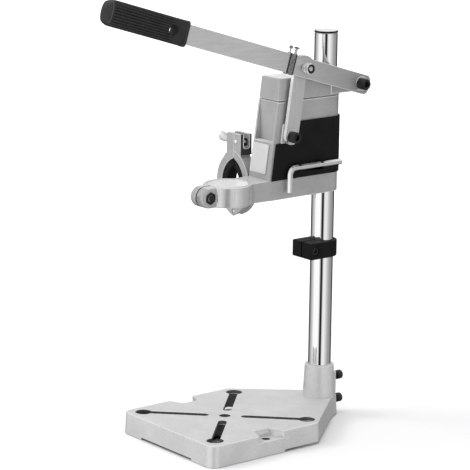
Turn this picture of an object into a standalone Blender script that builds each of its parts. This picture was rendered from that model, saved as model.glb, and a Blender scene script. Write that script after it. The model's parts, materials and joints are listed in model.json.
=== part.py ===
# A bench drill stand: a slotted base, a round column, a fixed head, a carriage
# with a split collar, a hand lever with a link, a side cover and a side clamp.
# +Z is up, -Y is the front, the column's axis is X = Y = 0, the base stands on Z = 0.
import math

import bmesh
import bpy
from mathutils import Matrix, Vector

for item in list(bpy.data.objects):
    bpy.data.objects.remove(item, do_unlink=True)

# Clearances and cuts
gap = 0.0003
overrun = 0.001
weld = 0.000001
round_rest = 0.00005
slit_half = 0.00075

# Facet counts
round_steps = 32
small_steps = 20
corner_steps = 5
edge_steps = 2

# Column
column_radius = 0.0125
column_wall = 0.002
column_length = 0.4234
column_chamfer = 0.0005
column_cap_grow = 0.0002
column_cap_rim = 0.0013
column_cap_spigot = 0.010

# Base plate
plate_height = 0.024
plate_half = 0.079
plate_front = -0.212
plate_centre = -0.133
plate_draft = 0.001
plate_edge = 0.0018
plate_wall = 0.0045
plate_skin = 0.005
front_corner = 0.010
shoulder_y = -0.068
shoulder_corner = 0.006
waist_half = 0.0195
waist_y = 0.002
waist_corner = 0.008
rear_half = 0.0095
rear_y = 0.018
rear_corner = 0.0025
rib_half = 0.0025
rib_rise = 0.003
rim_step = 0.001
hub_half = 0.012
pocket_end = -0.024
pocket_corner = 0.003
foot_rise = 0.0024
foot_front_half = 0.044
foot_side_y = -0.114
foot_rear_half = 0.024

# Slots, notches and holes of the base plate
slot_start = 0.0175
slot_half = 0.0045
slot_end_radius = 0.009
slot_end_offset = 0.0626
hub_hole_radius = 0.006
notch_outer_half = 0.0175
notch_inner_half = 0.009
notch_depth = 0.017
notch_ledge = 0.016
notch_corner = 0.003
notch_hole_radius = 0.0045
notch_hole_x = 0.070

# Column socket
socket_top = 0.0603
socket_top_radius = 0.016
socket_foot_radius = 0.0178
socket_edge = 0.0015
socket_floor = 0.006
socket_foot = 0.0012
pad_top = 0.050
pad_edge = 0.001
screw_levels = (0.042, 0.0154)
screw_shank_radius = 0.003
screw_head_radius = 0.005
screw_head_height = 0.007
screw_seat_y = 0.0245

# Socket screws, as shares of the head
socket_width_share = 0.46
socket_depth_share = 0.55
head_chamfer_share = 0.12
shank_chamfer_share = 0.15

# Stop collar
stop_half = 0.0165
stop_front = -0.029
stop_low = 0.1838
stop_height = 0.0181
stop_high = stop_low + stop_height
stop_corner = 0.002
stop_edge = 0.001
stop_screw_y = -0.0223
stop_screw_head_radius = 0.0045
stop_screw_head_height = 0.005
stop_screw_shank_radius = 0.0025
stop_screw_length = 0.024
stop_screw_sink = 0.0058

# Carriage housing
arm_low = 0.257
arm_thickness = 0.0225
arm_high = arm_low + arm_thickness
housing_height = 0.083
seam = arm_high + housing_height
housing_half = 0.017
housing_front_low = -0.0912
housing_front_high = -0.079
housing_corner = 0.0015
housing_edge = 0.0006
sleeve_radius = 0.0148
panel_shelf_rise = 0.0402
panel_low = arm_high + panel_shelf_rise
panel_half = 0.0145
panel_back = -0.0783
chamber_half = 0.011
chamber_front = -0.074
chamber_rear = -0.024
chamber_roof = 0.0175
chamber_top = seam - chamber_roof
chamber_corner = 0.004

# Drill collar at the end of the arm
collar_y = -0.133
collar_bore_radius = 0.0215
collar_radius = 0.026
arm_fillet = 0.0105
arm_root = -0.080
arm_edge = 0.0015
arm_foot_rise = 0.0002
ear_y = -0.164
ear_radius = 0.011
ear_half = 0.0112
ear_edge = 0.0028
ear_root = -0.150
collar_screw_head_radius = 0.0065
collar_screw_head_height = 0.005
collar_screw_radius = 0.004
collar_screw_end = 0.0137
collar_nut_flat = 0.013
collar_nut_height = 0.0065
collar_nut_out = 0.0015
head_sink = 0.0055

# Link pad, side cover and front plate
link_pad_out = 0.0197
link_pad_high_rise = 0.0595
link_pad_low_rise = 0.0388
link_pad_high = arm_high + link_pad_high_rise
link_pad_low = arm_high + link_pad_low_rise
link_pad_front_high = -0.0742
link_pad_front_low = -0.0772
link_pad_rear = -0.0545
link_pad_edge = 0.0008
link_pad_corner = 0.0015
cover_skin = 0.0014
cover_hang = 0.001
cover_step_rise = 0.0385
cover_drop = 0.0225
cover_low = arm_high - cover_hang
cover_step = arm_high + cover_step_rise
cover_high = seam - cover_drop
cover_front_low = -0.0875
cover_front_step = -0.082
cover_step_y = -0.053
cover_rear = 0.020
cover_bevel = 0.005
cover_bevel_run = 0.007
plate_left = -0.0154
plate_right = 0.011
label_rise = 0.0061
label_height = 0.0312
label_low = arm_high + label_rise
label_high = label_low + label_height
label_thickness = 0.0006
label_corner = 0.0008

# Head casting
head_height = 0.0245
head_top = seam + head_height
head_front_low = -0.079
head_front_high = -0.0766
head_half_low = 0.0171
head_half_high = 0.0164
head_corner = 0.003
head_sleeve = 0.016
head_edge = 0.0015
lug_inner = 0.004
lug_outer = 0.017
lug_radius = 0.0107
lug_root = -0.006
lug_edge = 0.001
clamp_screw_rise = 0.0125
clamp_screw_z = seam + clamp_screw_rise
clamp_boss_radius = 0.0085
clamp_boss_out = 0.0205
clamp_screw_radius = 0.004
clamp_screw_head_radius = 0.0065
clamp_screw_head_height = 0.008
clamp_screw_seat = 0.0225

# Guide post and return spring
post_y = -0.048
post_radius = 0.004
post_rise = 0.0015
post_low = arm_low + post_rise
post_seat = 0.0145
post_high = seam + post_seat
post_nut_radius = 0.0075
post_nut_flange_radius = 0.0095
post_nut_height = 0.006
post_nut_flange = 0.002
spring_mean_radius = 0.0065
spring_wire_radius = 0.0008
spring_turns = 11
spring_points = 9

# Lever
pivot_y = 0.0239
pivot_rise = 0.0128
pivot_z = seam + pivot_rise
lever_slope = math.radians(16.8)
lever_inner = 0.0256
lever_thickness = 0.005
lever_half = 0.0105
lever_tail = 0.013
lever_tail_corner = 0.006
lever_length = 0.347
lever_edge = 0.0004
eye_reach = 0.082
bump_lead = 0.0013
bump_rise = 0.0025
bump_top_half = 0.0035
bump_foot_half = 0.0095
bump_round = 0.015
bump_fillet = 0.012
pivot_radius = 0.004
pivot_head_radius = 0.006
pivot_head_height = 0.008
pivot_washer_radius = 0.00825
pivot_washer_thickness = 0.0015
pivot_spacer_radius = 0.0075
pivot_nut_flat = 0.013
pivot_nut_height = 0.0065
pivot_end = 0.0035

# Grip
grip_length = 0.1055
grip_over_end = 0.0055
grip_end = lever_length + grip_over_end
grip_start = grip_end - grip_length
grip_half = 0.0133
grip_inner_half = 0.0063
grip_outer_half = 0.0108
grip_hole_in = 0.020
grip_hole_reach = grip_start + grip_hole_in
grip_hole_radius = 0.006
grip_recess_radius = 0.0063
grip_dome = 0.008
grip_corner_share = 0.75
grip_dome_share = 0.62

# Clip on the lever
clip_lead = 0.0195
clip_reach = eye_reach + clip_lead
clip_half = 0.0055
clip_skin = 0.0012
clip_inner_skin = 0.0007
clip_screw_spread = 0.004
clip_screw_radius = 0.0016
clip_screw_top = 0.0185
clip_front_head_radius = 0.002
clip_rear_head_radius = 0.003
clip_head_height = 0.0018

# Link
link_inner = 0.020
link_thickness = 0.004
link_half = 0.0083
link_foot_y = -0.0656
link_foot_rise = 0.0457
link_foot_z = arm_high + link_foot_rise
link_bolt_radius = 0.003
link_edge = 0.0005
link_sink_radius = 0.0055
link_sink_depth = 0.002
link_nut_flat = 0.0105
link_nut_height = 0.0054
link_bolt_short = 0.0008
link_screw_head_radius = 0.006
link_screw_head_height = 0.007
link_washer_radius = 0.0083
link_washer_thickness = 0.0012
link_screw_depth = 0.012
link_foot_hole_radius = 0.0065

# Hex key and its holders on the cover
key_flat = 0.0055
key_x = 0.0222
key_rise = 0.0122
key_z = cover_low + key_rise
key_front_y = -0.066
key_length = 0.0717
key_end_y = key_front_y + key_length
key_drop = 0.026
key_tip_z = key_z - key_drop
key_bend = 0.007
key_steps = 6
holder_half = 0.0016
holder_height = 0.0046
holder_out = 0.0258
holder_front_y = -0.052
holder_rear_y = -0.0206

# Side clamp, a ring whose two arcs share centres that lie off its middle
ring_x = -0.0438
ring_y = -0.08375
ring_rise = 0.0105
ring_z = arm_low + ring_rise
ring_depth = 0.01425
ring_offset = 0.0115
ring_outer = 0.038
ring_inner = 0.0295
lining = 0.0073
groove_half = 0.004
groove_depth = 0.003
groove_top_angle = math.radians(-22)
jaw_ear_inner = -0.0316
jaw_ear_outer = -0.0529
jaw_seam = -0.0425
jaw_ear_top_rise = 0.0545
jaw_ear_low_rise = 0.0282
jaw_ear_top = ring_z + jaw_ear_top_rise
jaw_ear_low = ring_z + jaw_ear_low_rise
jaw_ear_corner = 0.0025
eye_rise = 0.046
eye_z = ring_z + eye_rise
jaw_slot_half = 0.0035
jaw_slot_depth = 0.0135
jaw_slot_low = jaw_ear_top - jaw_slot_depth
jaw_hinge_radius = 0.002
jaw_hinge_rise = 0.0051
jaw_knuckle_radius = 0.0038
jaw_tongue_half = 0.0025
jaw_relief_half = 0.0006
jaw_bolt_radius = 0.0025
jaw_bolt_eye_radius = 0.0045
jaw_bolt_end = -0.0665
jaw_pin_x = -0.0392
jaw_pin_radius = 0.0015
wing_hub_radius = 0.005
wing_hub_height = 0.0068
wing_span = 0.011
wing_rise = 0.0105
wing_half = 0.0011
wing_turn = math.radians(-50)
ear_plate_skin = 0.0012
ear_plate_drop = 0.0225
ear_plate_low = jaw_ear_top - ear_plate_drop
swivel_boss_radius = 0.0085
swivel_radius = 0.003
swivel_head_radius = 0.005
swivel_head_height = 0.0035
swivel_end = -0.006

finishes = {
    "cast": ((0.62, 0.63, 0.64), 0.42, 0.85),
    "cast_dark": ((0.42, 0.43, 0.45), 0.45, 0.85),
    "machined": ((0.72, 0.73, 0.74), 0.28, 0.95),
    "chrome": ((0.86, 0.87, 0.88), 0.08, 1.0),
    "steel": ((0.55, 0.56, 0.58), 0.32, 0.9),
    "zinc": ((0.78, 0.79, 0.80), 0.25, 1.0),
    "black_oxide": ((0.03, 0.03, 0.032), 0.38, 0.6),
    "black_plastic": ((0.018, 0.018, 0.019), 0.5, 0.0),
    "black_rubber": ((0.022, 0.022, 0.024), 0.75, 0.0),
    "pale_plate": ((0.74, 0.75, 0.76), 0.35, 0.1),
}
helpers = []


# One material per piece, from the table of finishes.
def material_of(name, finish):
    colour, roughness, metallic = finishes[finish]
    material = bpy.data.materials.new(name)
    material.use_nodes = True
    shader = material.node_tree.nodes["Principled BSDF"]
    shader.inputs["Base Color"].default_value = (*colour, 1)
    shader.inputs["Roughness"].default_value = roughness
    shader.inputs["Metallic"].default_value = metallic
    return material


# Two flat coordinates and a level become a point, for a shape that runs along an axis.
def placed(axis, first, second, level):
    if axis == "X":
        return Vector((level, first, second))
    if axis == "Y":
        return Vector((first, level, second))
    return Vector((first, second, level))


# Moves every side of a corner list outward by the same distance.
def grown(corners, grow):
    result = []
    for index, (x, y, radius) in enumerate(corners):
        before = corners[index - 1]
        after = corners[(index + 1) % len(corners)]
        into = Vector((x - before[0], y - before[1])).normalized()
        away = Vector((after[0] - x, after[1] - y)).normalized()
        first = Vector((into.y, -into.x))
        second = Vector((away.y, -away.x))
        shift = (first + second) * (grow / (1 + first.dot(second)))
        bends_out = into.x * away.y - into.y * away.x > 0
        moved = radius + grow if bends_out else radius - grow
        result.append((x + shift.x, y + shift.y, max(moved, radius / 10)))
    return result


# A corner list with radii becomes a closed row of points.
def outline_of(corners):
    points = []
    for index, (x, y, radius) in enumerate(corners):
        here = Vector((x, y))
        if not radius:
            points.append(here)
            continue
        before = Vector(corners[index - 1][:2])
        after = Vector(corners[(index + 1) % len(corners)][:2])
        back = (before - here).normalized()
        ahead = (after - here).normalized()
        half = back.angle(ahead) / 2
        centre = here + (back + ahead).normalized() * (radius / math.sin(half))
        start = here + back * (radius / math.tan(half)) - centre
        end = here + ahead * (radius / math.tan(half)) - centre
        first = math.atan2(start.y, start.x)
        sweep = (math.atan2(end.y, end.x) - first + math.pi) % (2 * math.pi) - math.pi
        points += arc(centre.x, centre.y, radius, first, first + sweep, corner_steps)
    return points


def arc(x, y, radius, first, last, steps):
    points = []
    for step in range(steps + 1):
        angle = first + (last - first) * step / steps
        points.append(Vector((x + radius * math.cos(angle), y + radius * math.sin(angle))))
    return points


def mirrored(corners):
    return [(-corner[0], *corner[1:]) for corner in reversed(corners)]


# Rings with equal counts become a closed skin with flat ends.
def loft(rings):
    shape = bmesh.new()
    rows = [[shape.verts.new(point) for point in ring] for ring in rings]
    for low, high in zip(rows, rows[1:]):
        for index in range(len(low)):
            after = (index + 1) % len(low)
            shape.faces.new((low[index], low[after], high[after], high[index]))
    shape.faces.new(list(reversed(rows[0])))
    shape.faces.new(rows[-1])
    return shape


# Levels and growths of a straight block whose two rims are rounded.
def eased(low, high, low_radius, high_radius):
    rows = []
    steps = edge_steps if low_radius else 0
    for step in range(steps + 1):
        angle = math.pi / 2 * step / max(steps, 1)
        rise = low_radius * (1 - math.cos(angle))
        rows.append((-low_radius * (1 - math.sin(angle)), low + rise))
    steps = edge_steps if high_radius else 0
    for step in range(steps + 1):
        angle = math.pi / 2 * (1 - step / max(steps, 1))
        rise = high_radius * (1 - math.cos(angle))
        rows.append((-high_radius * (1 - math.sin(angle)), high - rise))
    return rows


def block(corners, rows, axis="Z"):
    rings = []
    for grow, level in rows:
        outline = outline_of(grown(corners, grow) if grow else corners)
        rings.append([placed(axis, point.x, point.y, level) for point in outline])
    return loft(rings)


def prism(points, low, high, axis="Z"):
    return loft([[placed(axis, *point, level) for point in points] for level in (low, high)])


def box(low, high):
    corners = [(low[0], low[1], 0), (high[0], low[1], 0), (high[0], high[1], 0), (low[0], high[1], 0)]
    return block(corners, [(0, low[2]), (0, high[2])])


# A profile of radii and levels, turned about an axis: closed by poles, or by itself as a ring.
def turned(profile, axis="Z", centre=(0, 0), steps=round_steps):
    shape = bmesh.new()
    rows = []
    for radius, level in profile:
        ring = []
        for step in range(steps if radius else 1):
            angle = 2 * math.pi * step / steps
            first = centre[0] + radius * math.cos(angle)
            second = centre[1] + radius * math.sin(angle)
            ring.append(shape.verts.new(placed(axis, first, second, level)))
        rows.append(ring)
    pairs = list(zip(rows, rows[1:]))
    if profile[0][0]:
        pairs.append((rows[-1], rows[0]))
    for low, high in pairs:
        for step in range(steps):
            after = (step + 1) % steps
            face = [low[step % len(low)], low[after % len(low)]]
            face += [high[after % len(high)], high[step % len(high)]]
            shape.faces.new(list(dict.fromkeys(face)))
    return shape


def rod(radius, low, high, axis="Z", centre=(0, 0), steps=small_steps):
    return turned([(0, low), (radius, low), (radius, high), (0, high)], axis, centre, steps)


def washer(hole, radius, low, high, axis, centre, steps=small_steps):
    chamfer = (high - low) / 5
    profile = [(hole, low), (radius, low), (radius, high - chamfer), (radius - chamfer, high), (hole, high)]
    return turned(profile, axis, centre, steps)


def hexagon(flat, centre):
    reach = flat / math.sqrt(3)
    turns = [math.pi / 3 * step for step in range(6)]
    return [(centre[0] + reach * math.cos(turn), centre[1] + reach * math.sin(turn), 0) for turn in turns]


def mesh_object(name, shape, origin=(0, 0, 0)):
    bmesh.ops.remove_doubles(shape, verts=shape.verts, dist=weld)
    bmesh.ops.recalc_face_normals(shape, faces=shape.faces)
    shape.transform(Matrix.Translation(-Vector(origin)))
    mesh = bpy.data.meshes.new(name)
    shape.to_mesh(mesh)
    shape.free()
    made = bpy.data.objects.new(name, mesh)
    made.location = origin
    bpy.context.scene.collection.objects.link(made)
    return made


def node(name, shape, finish, origin=(0, 0, 0)):
    made = mesh_object(name, shape, origin)
    made.data.materials.append(material_of(name, finish))
    return made


# A Boolean with a hidden helper shape.
def combine(piece, shape, operation):
    helper = mesh_object(f"{piece.name}_helper", shape)
    helper.hide_render = True
    helper.display_type = "WIRE"
    helpers.append(helper)
    modifier = piece.modifiers.new(operation.lower(), "BOOLEAN")
    modifier.operation = operation
    modifier.solver = "EXACT"
    modifier.object = helper


def join(piece, shape):
    combine(piece, shape, "UNION")


def cut(piece, shape):
    combine(piece, shape, "DIFFERENCE")


# A cap screw along an axis. The head points towards turn, the shank the other way.
def cap_screw(name, finish, axis, centre, seat, turn, head, shank, origin=(0, 0, 0)):
    head_radius, head_height = head
    shank_radius, length = shank
    chamfer = head_radius * head_chamfer_share
    point = shank_radius * shank_chamfer_share
    profile = [
        (0, seat - turn * length),
        (shank_radius - point, seat - turn * length),
        (shank_radius, seat - turn * (length - point)),
        (shank_radius, seat),
        (head_radius, seat),
        (head_radius, seat + turn * (head_height - chamfer)),
        (head_radius - chamfer, seat + turn * head_height),
        (0, seat + turn * head_height),
    ]
    piece = node(name, turned(profile, axis, centre, small_steps), finish, origin)
    flat = 2 * head_radius * socket_width_share
    floor = seat + turn * head_height * (1 - socket_depth_share)
    rim = seat + turn * (head_height + overrun)
    cut(piece, block(hexagon(flat, centre), [(0, floor), (0, rim)], axis))
    return piece


def hex_nut(name, finish, flat, hole, low, high, centre, origin=(0, 0, 0)):
    edge = (high - low) / 10
    piece = node(name, block(hexagon(flat, centre), eased(low, high, edge, edge), "X"), finish, origin)
    cut(piece, rod(hole, low - overrun, high + overrun, "X", centre))
    return piece


# Base plate with pockets under it, slots, notches and the column socket
plate_corners = [
    (-plate_half, plate_front, front_corner),
    (plate_half, plate_front, front_corner),
    (plate_half, shoulder_y, shoulder_corner),
    (waist_half, waist_y, waist_corner),
    (rear_half, rear_y, rear_corner),
    (-rear_half, rear_y, rear_corner),
    (-waist_half, waist_y, waist_corner),
    (-plate_half, shoulder_y, shoulder_corner),
]
plate_rows = [(plate_draft, 0)] + eased(0, plate_height, 0, plate_edge)[1:]
base = node("base_plate", block(plate_corners, plate_rows), "cast")
socket_profile = [
    (0, socket_foot),
    (socket_foot_radius, socket_foot),
    (socket_foot_radius, plate_height),
    (socket_top_radius, socket_top - socket_edge),
    (socket_top_radius - socket_edge / 3, socket_top - socket_edge / 3),
    (socket_top_radius - socket_edge, socket_top),
    (0, socket_top),
]
join(base, turned(socket_profile))
pad_corners = [
    (-rear_half, -column_radius, 0),
    (rear_half, -column_radius, 0),
    (rear_half, rear_y, rear_corner),
    (-rear_half, rear_y, rear_corner),
]
pad_rows = eased(socket_foot + overrun, pad_top, 0, pad_edge)
join(base, block(pad_corners, pad_rows))


# The shoulder line moved inward gives the slanted wall of the rear pockets.
def slanted_wall(wall):
    inset = grown(plate_corners, -wall)
    shoulder, waist = inset[2], inset[3]
    share = (pocket_end - shoulder[1]) / (waist[1] - shoulder[1])
    return shoulder, shoulder[0] + (waist[0] - shoulder[0]) * share


side_x = plate_half - plate_wall
notch_x = plate_half - notch_depth - plate_wall
shoulder, end_x = slanted_wall(plate_wall)
front_pocket = [
    (rib_half, plate_front + plate_wall, pocket_corner),
    (side_x, plate_front + plate_wall, pocket_corner),
    (side_x, plate_centre - notch_outer_half - plate_wall, pocket_corner),
    (notch_x, plate_centre - notch_inner_half - plate_wall, pocket_corner),
    (notch_x, plate_centre - rib_half, pocket_corner),
    (hub_half, plate_centre - rib_half, pocket_corner),
    (rib_half, plate_centre - hub_half, pocket_corner),
]
rear_pocket = [
    (hub_half, plate_centre + rib_half, pocket_corner),
    (notch_x, plate_centre + rib_half, pocket_corner),
    (notch_x, plate_centre + notch_inner_half + plate_wall, pocket_corner),
    (side_x, plate_centre + notch_outer_half + plate_wall, pocket_corner),
    (shoulder[0], shoulder[1], pocket_corner),
    (end_x, pocket_end, pocket_corner),
    (rib_half, pocket_end, pocket_corner),
    (rib_half, plate_centre + hub_half, pocket_corner),
]
for corners in (front_pocket, rear_pocket, mirrored(front_pocket), mirrored(rear_pocket)):
    cut(base, block(corners, [(0, -overrun), (0, plate_height - plate_skin)]))
low_wall = plate_wall - rim_step
low_x = plate_half - low_wall
low_shoulder, low_end_x = slanted_wall(low_wall)
rib_cut = [
    (-low_x, plate_front + low_wall, pocket_corner),
    (low_x, plate_front + low_wall, pocket_corner),
    (low_shoulder[0], low_shoulder[1], pocket_corner),
    (low_end_x, pocket_end + rim_step, pocket_corner),
    (-low_end_x, pocket_end + rim_step, pocket_corner),
    (-low_shoulder[0], low_shoulder[1], pocket_corner),
]
cut(base, block(rib_cut, [(0, -overrun), (0, rib_rise)]))
outside = plate_front - plate_draft - overrun
inside = plate_front + plate_wall + rim_step
cut(base, box((-foot_front_half, outside, -overrun), (foot_front_half, inside, foot_rise)))
wide_x = plate_half + plate_draft + overrun
for side in (-1, 1):
    foot_x = sorted((side * foot_rear_half, side * wide_x))
    cut(base, box((foot_x[0], foot_side_y, -overrun), (foot_x[1], waist_y, foot_rise)))

slot_end = slot_end_offset * math.sqrt(2)
slot_bend = math.asin(slot_half / slot_end_radius)
for quarter in range(4):
    turn = math.pi / 4 + math.pi / 2 * quarter
    inner = arc(slot_start + slot_half, 0, slot_half, math.pi / 2, 3 * math.pi / 2, 2 * corner_steps)
    outer = arc(slot_end, 0, slot_end_radius, slot_bend - math.pi, math.pi - slot_bend, 4 * corner_steps)
    keyhole = []
    for point in inner + outer:
        x = point.x * math.cos(turn) - point.y * math.sin(turn)
        y = point.x * math.sin(turn) + point.y * math.cos(turn) + plate_centre
        keyhole.append((x, y))
    cut(base, prism(keyhole, plate_height - plate_skin - overrun, plate_height + overrun))
cut(base, rod(hub_hole_radius, -overrun, plate_height + overrun, "Z", (0, plate_centre)))
notch = [
    (plate_half - notch_depth, plate_centre - notch_inner_half, notch_corner),
    (wide_x, plate_centre - notch_outer_half, 0),
    (wide_x, plate_centre + notch_outer_half, 0),
    (plate_half - notch_depth, plate_centre + notch_inner_half, notch_corner),
]
for side, corners in ((1, notch), (-1, mirrored(notch))):
    cut(base, block(corners, [(0, notch_ledge), (0, plate_height + overrun)]))
    hole_at = (side * notch_hole_x, plate_centre)
    cut(base, rod(notch_hole_radius, -overrun, plate_height, "Z", hole_at))
cut(base, rod(column_radius + gap, socket_floor, socket_top + overrun, "Z", (0, 0), round_steps))
for level in screw_levels:
    hole = rod(screw_shank_radius + gap, column_wall, rear_y + overrun, "Y", (0, level))
    cut(base, hole)
screw_length = screw_seat_y - column_radius - gap
for label, level in zip(("upper", "lower"), screw_levels):
    head = (screw_head_radius, screw_head_height)
    shank = (screw_shank_radius, screw_length)
    cap_screw(f"socket_screw_{label}", "black_oxide", "Y", (0, level), screw_seat_y, 1, head, shank)

# Column and its cap
column_low = socket_floor + gap
column_top = column_low + column_length
bore_radius = column_radius - column_wall
column_profile = [
    (bore_radius, column_low),
    (column_radius - column_chamfer, column_low),
    (column_radius, column_low + column_chamfer),
    (column_radius, column_top - column_chamfer),
    (column_radius - column_chamfer, column_top),
    (bore_radius, column_top),
]
node("column_tube", turned(column_profile), "chrome")
cap_low = column_top + gap
cap_radius = column_radius + column_cap_grow
cap_profile = [
    (0, column_top - column_cap_spigot),
    (bore_radius - gap, column_top - column_cap_spigot),
    (bore_radius - gap, cap_low),
    (cap_radius, cap_low),
    (cap_radius, cap_low + column_cap_rim - column_chamfer),
    (cap_radius - column_chamfer, cap_low + column_cap_rim),
    (0, cap_low + column_cap_rim),
]
node("column_cap", turned(cap_profile), "black_plastic")

# Stop collar, split at the front, with its screw sunk in the side
stop_origin = (0, 0, stop_low)
slide_radius = column_radius + gap
stop_corners = [
    (-stop_half, stop_front, stop_corner),
    (stop_half, stop_front, stop_corner),
    (stop_half, stop_half, stop_half - round_rest),
    (-stop_half, stop_half, stop_half - round_rest),
]
stop_rows = eased(stop_low, stop_high, stop_edge, stop_edge)
stop = node("stop_collar", block(stop_corners, stop_rows), "black_oxide", stop_origin)
cut(stop, rod(slide_radius, stop_low - overrun, stop_high + overrun, "Z", (0, 0), round_steps))
slit_low = (-slit_half, stop_front - overrun, stop_low - overrun)
cut(stop, box(slit_low, (slit_half, -column_wall, stop_high + overrun)))
stop_screw_at = (stop_screw_y, (stop_low + stop_high) / 2)
stop_seat = stop_half - stop_screw_sink
cut(stop, rod(stop_screw_head_radius + gap, stop_seat - gap, stop_half + overrun, "X", stop_screw_at))
stop_screw_reach = stop_seat - stop_screw_length
cut(stop, rod(stop_screw_shank_radius + gap, stop_screw_reach - gap, stop_seat, "X", stop_screw_at))
head = (stop_screw_head_radius, stop_screw_head_height)
shank = (stop_screw_shank_radius, stop_screw_length)
cap_screw("stop_collar_screw", "black_oxide", "X", stop_screw_at, stop_seat, 1, head, shank, stop_origin)

# Carriage: a housing with a leaning front, a rear sleeve and an arm with a split collar
carriage_origin = (0, 0, arm_low)
front_lean = (housing_front_high - housing_front_low) / (seam - arm_high)


# Corners of the housing at a level, grown outward by a skin.
def housing_corners(level, grow=0):
    front = housing_front_low + front_lean * max(level - arm_high, 0)
    rear = sleeve_radius - round_rest
    corners = [
        (-housing_half, front, housing_corner),
        (housing_half, front, housing_corner),
        (sleeve_radius, sleeve_radius, rear),
        (-sleeve_radius, sleeve_radius, rear),
    ]
    return grown(corners, grow)


def housing(grow, low, high, edge):
    rings = []
    for shrink, level in ((0, low), (0, arm_high), (0, high - edge), (edge, high)):
        outline = outline_of(housing_corners(level, grow - shrink))
        rings.append([placed("Z", point.x, point.y, level) for point in outline])
    return loft(rings)


carriage = node("carriage", housing(0, arm_low, seam, housing_edge), "cast_dark", carriage_origin)


# The arm's outline: straight sides, a fillet on each side, and the collar's round.
def arm_outline(grow):
    fillet = arm_fillet - grow
    half = housing_half + grow
    reach = collar_radius + arm_fillet
    lean = math.acos((housing_half + arm_fillet) / reach)
    fillet_y = collar_y + reach * math.sin(lean)
    fillet_x = housing_half + arm_fillet
    right = [Vector((half, arm_root + grow))]
    right += reversed(arc(fillet_x, fillet_y, fillet, math.pi, math.pi + lean, corner_steps)[::-1])
    round_end = arc(0, collar_y, collar_radius + grow, lean, -math.pi - lean, 8 * corner_steps)
    left = [Vector((-point.x, point.y)) for point in reversed(right)]
    return right + round_end[1:-1] + left


arm_rings = []
for grow, level in eased(arm_low, arm_high, arm_edge, arm_edge):
    lifted = max(level, arm_low + arm_foot_rise)
    arm_rings.append([placed("Z", point.x, point.y, lifted) for point in arm_outline(grow)])
join(carriage, loft(arm_rings))
ear_z = (arm_low + arm_high) / 2
ear_corners = [
    (ear_y - ear_radius, ear_z - ear_radius, ear_radius - round_rest),
    (ear_root, ear_z - ear_radius, 0),
    (ear_root, ear_z + ear_radius, 0),
    (ear_y - ear_radius, ear_z + ear_radius, ear_radius - round_rest),
]
join(carriage, block(ear_corners, eased(-ear_half, ear_half, ear_edge, ear_edge), "X"))
pad_corners = [
    (link_pad_front_low, link_pad_low, link_pad_corner),
    (link_pad_rear, link_pad_low, link_pad_corner),
    (link_pad_rear, link_pad_high, link_pad_corner),
    (link_pad_front_high, link_pad_high, link_pad_corner),
]
join(carriage, block(pad_corners, eased(chamber_half, link_pad_out, 0, link_pad_edge), "X"))
sleeve_cut = rod(slide_radius, arm_low - overrun, seam + overrun, "Z", (0, 0), round_steps)
cut(carriage, sleeve_cut)
collar_at = (0, collar_y)
cut(carriage, rod(collar_bore_radius, arm_low - overrun, arm_high + overrun, "Z", collar_at, 40))
collar_screw_at = (ear_y, ear_z)
cut(carriage, rod(collar_screw_radius + gap, -ear_half - overrun, ear_half + overrun, "X", collar_screw_at))
ear_tip = ear_y - ear_radius - overrun
slit_high = (slit_half, collar_y - column_radius, arm_high + overrun)
cut(carriage, box((-slit_half, ear_tip, arm_low - overrun), slit_high))
panel_low_corner = (-panel_half, housing_front_low - overrun, panel_low)
cut(carriage, box(panel_low_corner, (panel_half, panel_back, seam + overrun)))
chamber = [
    (-chamber_half, chamber_front, chamber_corner),
    (chamber_half, chamber_front, chamber_corner),
    (chamber_half, chamber_rear, chamber_corner),
    (-chamber_half, chamber_rear, chamber_corner),
]
cut(carriage, block(chamber, [(0, arm_low - overrun), (0, chamber_top)]))
cut(carriage, rod(post_radius + gap, chamber_top - overrun, seam + overrun, "Z", (0, post_y)))

# Drill collar screw with a low head, and its nut in a hexagon pocket
collar_seat = -ear_half + head_sink
nut_high = ear_half + collar_nut_out
nut_low = nut_high - collar_nut_height
head_room = rod(collar_screw_head_radius + gap, -ear_half - overrun, collar_seat, "X", collar_screw_at)
cut(carriage, head_room)
nut_room = block(hexagon(collar_nut_flat + 2 * gap, collar_screw_at), [(0, nut_low - gap), (0, nut_high)], "X")
cut(carriage, nut_room)
head = (collar_screw_head_radius, collar_screw_head_height)
shank = (collar_screw_radius, collar_screw_end - collar_seat + gap)
collar_screw_seat = collar_seat - gap
cap_screw(
    "collar_screw", "black_oxide", "X", collar_screw_at, collar_screw_seat, -1, head, shank, carriage_origin
)
hex_nut(
    "collar_nut",
    "black_oxide",
    collar_nut_flat,
    collar_screw_radius + gap,
    nut_low,
    nut_high,
    collar_screw_at,
    carriage_origin,
)

# Blank plate on the leaning front
lean_angle = math.atan(front_lean)
label_mid = (label_low + label_high) / 2
label_half = (label_high - label_low) / 2 / math.cos(lean_angle)
label_corners = [
    (plate_left, -label_half, label_corner),
    (plate_right, -label_half, label_corner),
    (plate_right, label_half, label_corner),
    (plate_left, label_half, label_corner),
]
label_shape = block(label_corners, [(0, -gap), (0, -gap - label_thickness)], "Y")
label_front = housing_front_low + front_lean * (label_mid - arm_high)
label_shape.transform(Matrix.Rotation(-lean_angle, 4, "X"))
label_shape.transform(Matrix.Translation((0, label_front, label_mid)))
node("front_plate", label_shape, "pale_plate", carriage_origin)

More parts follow.
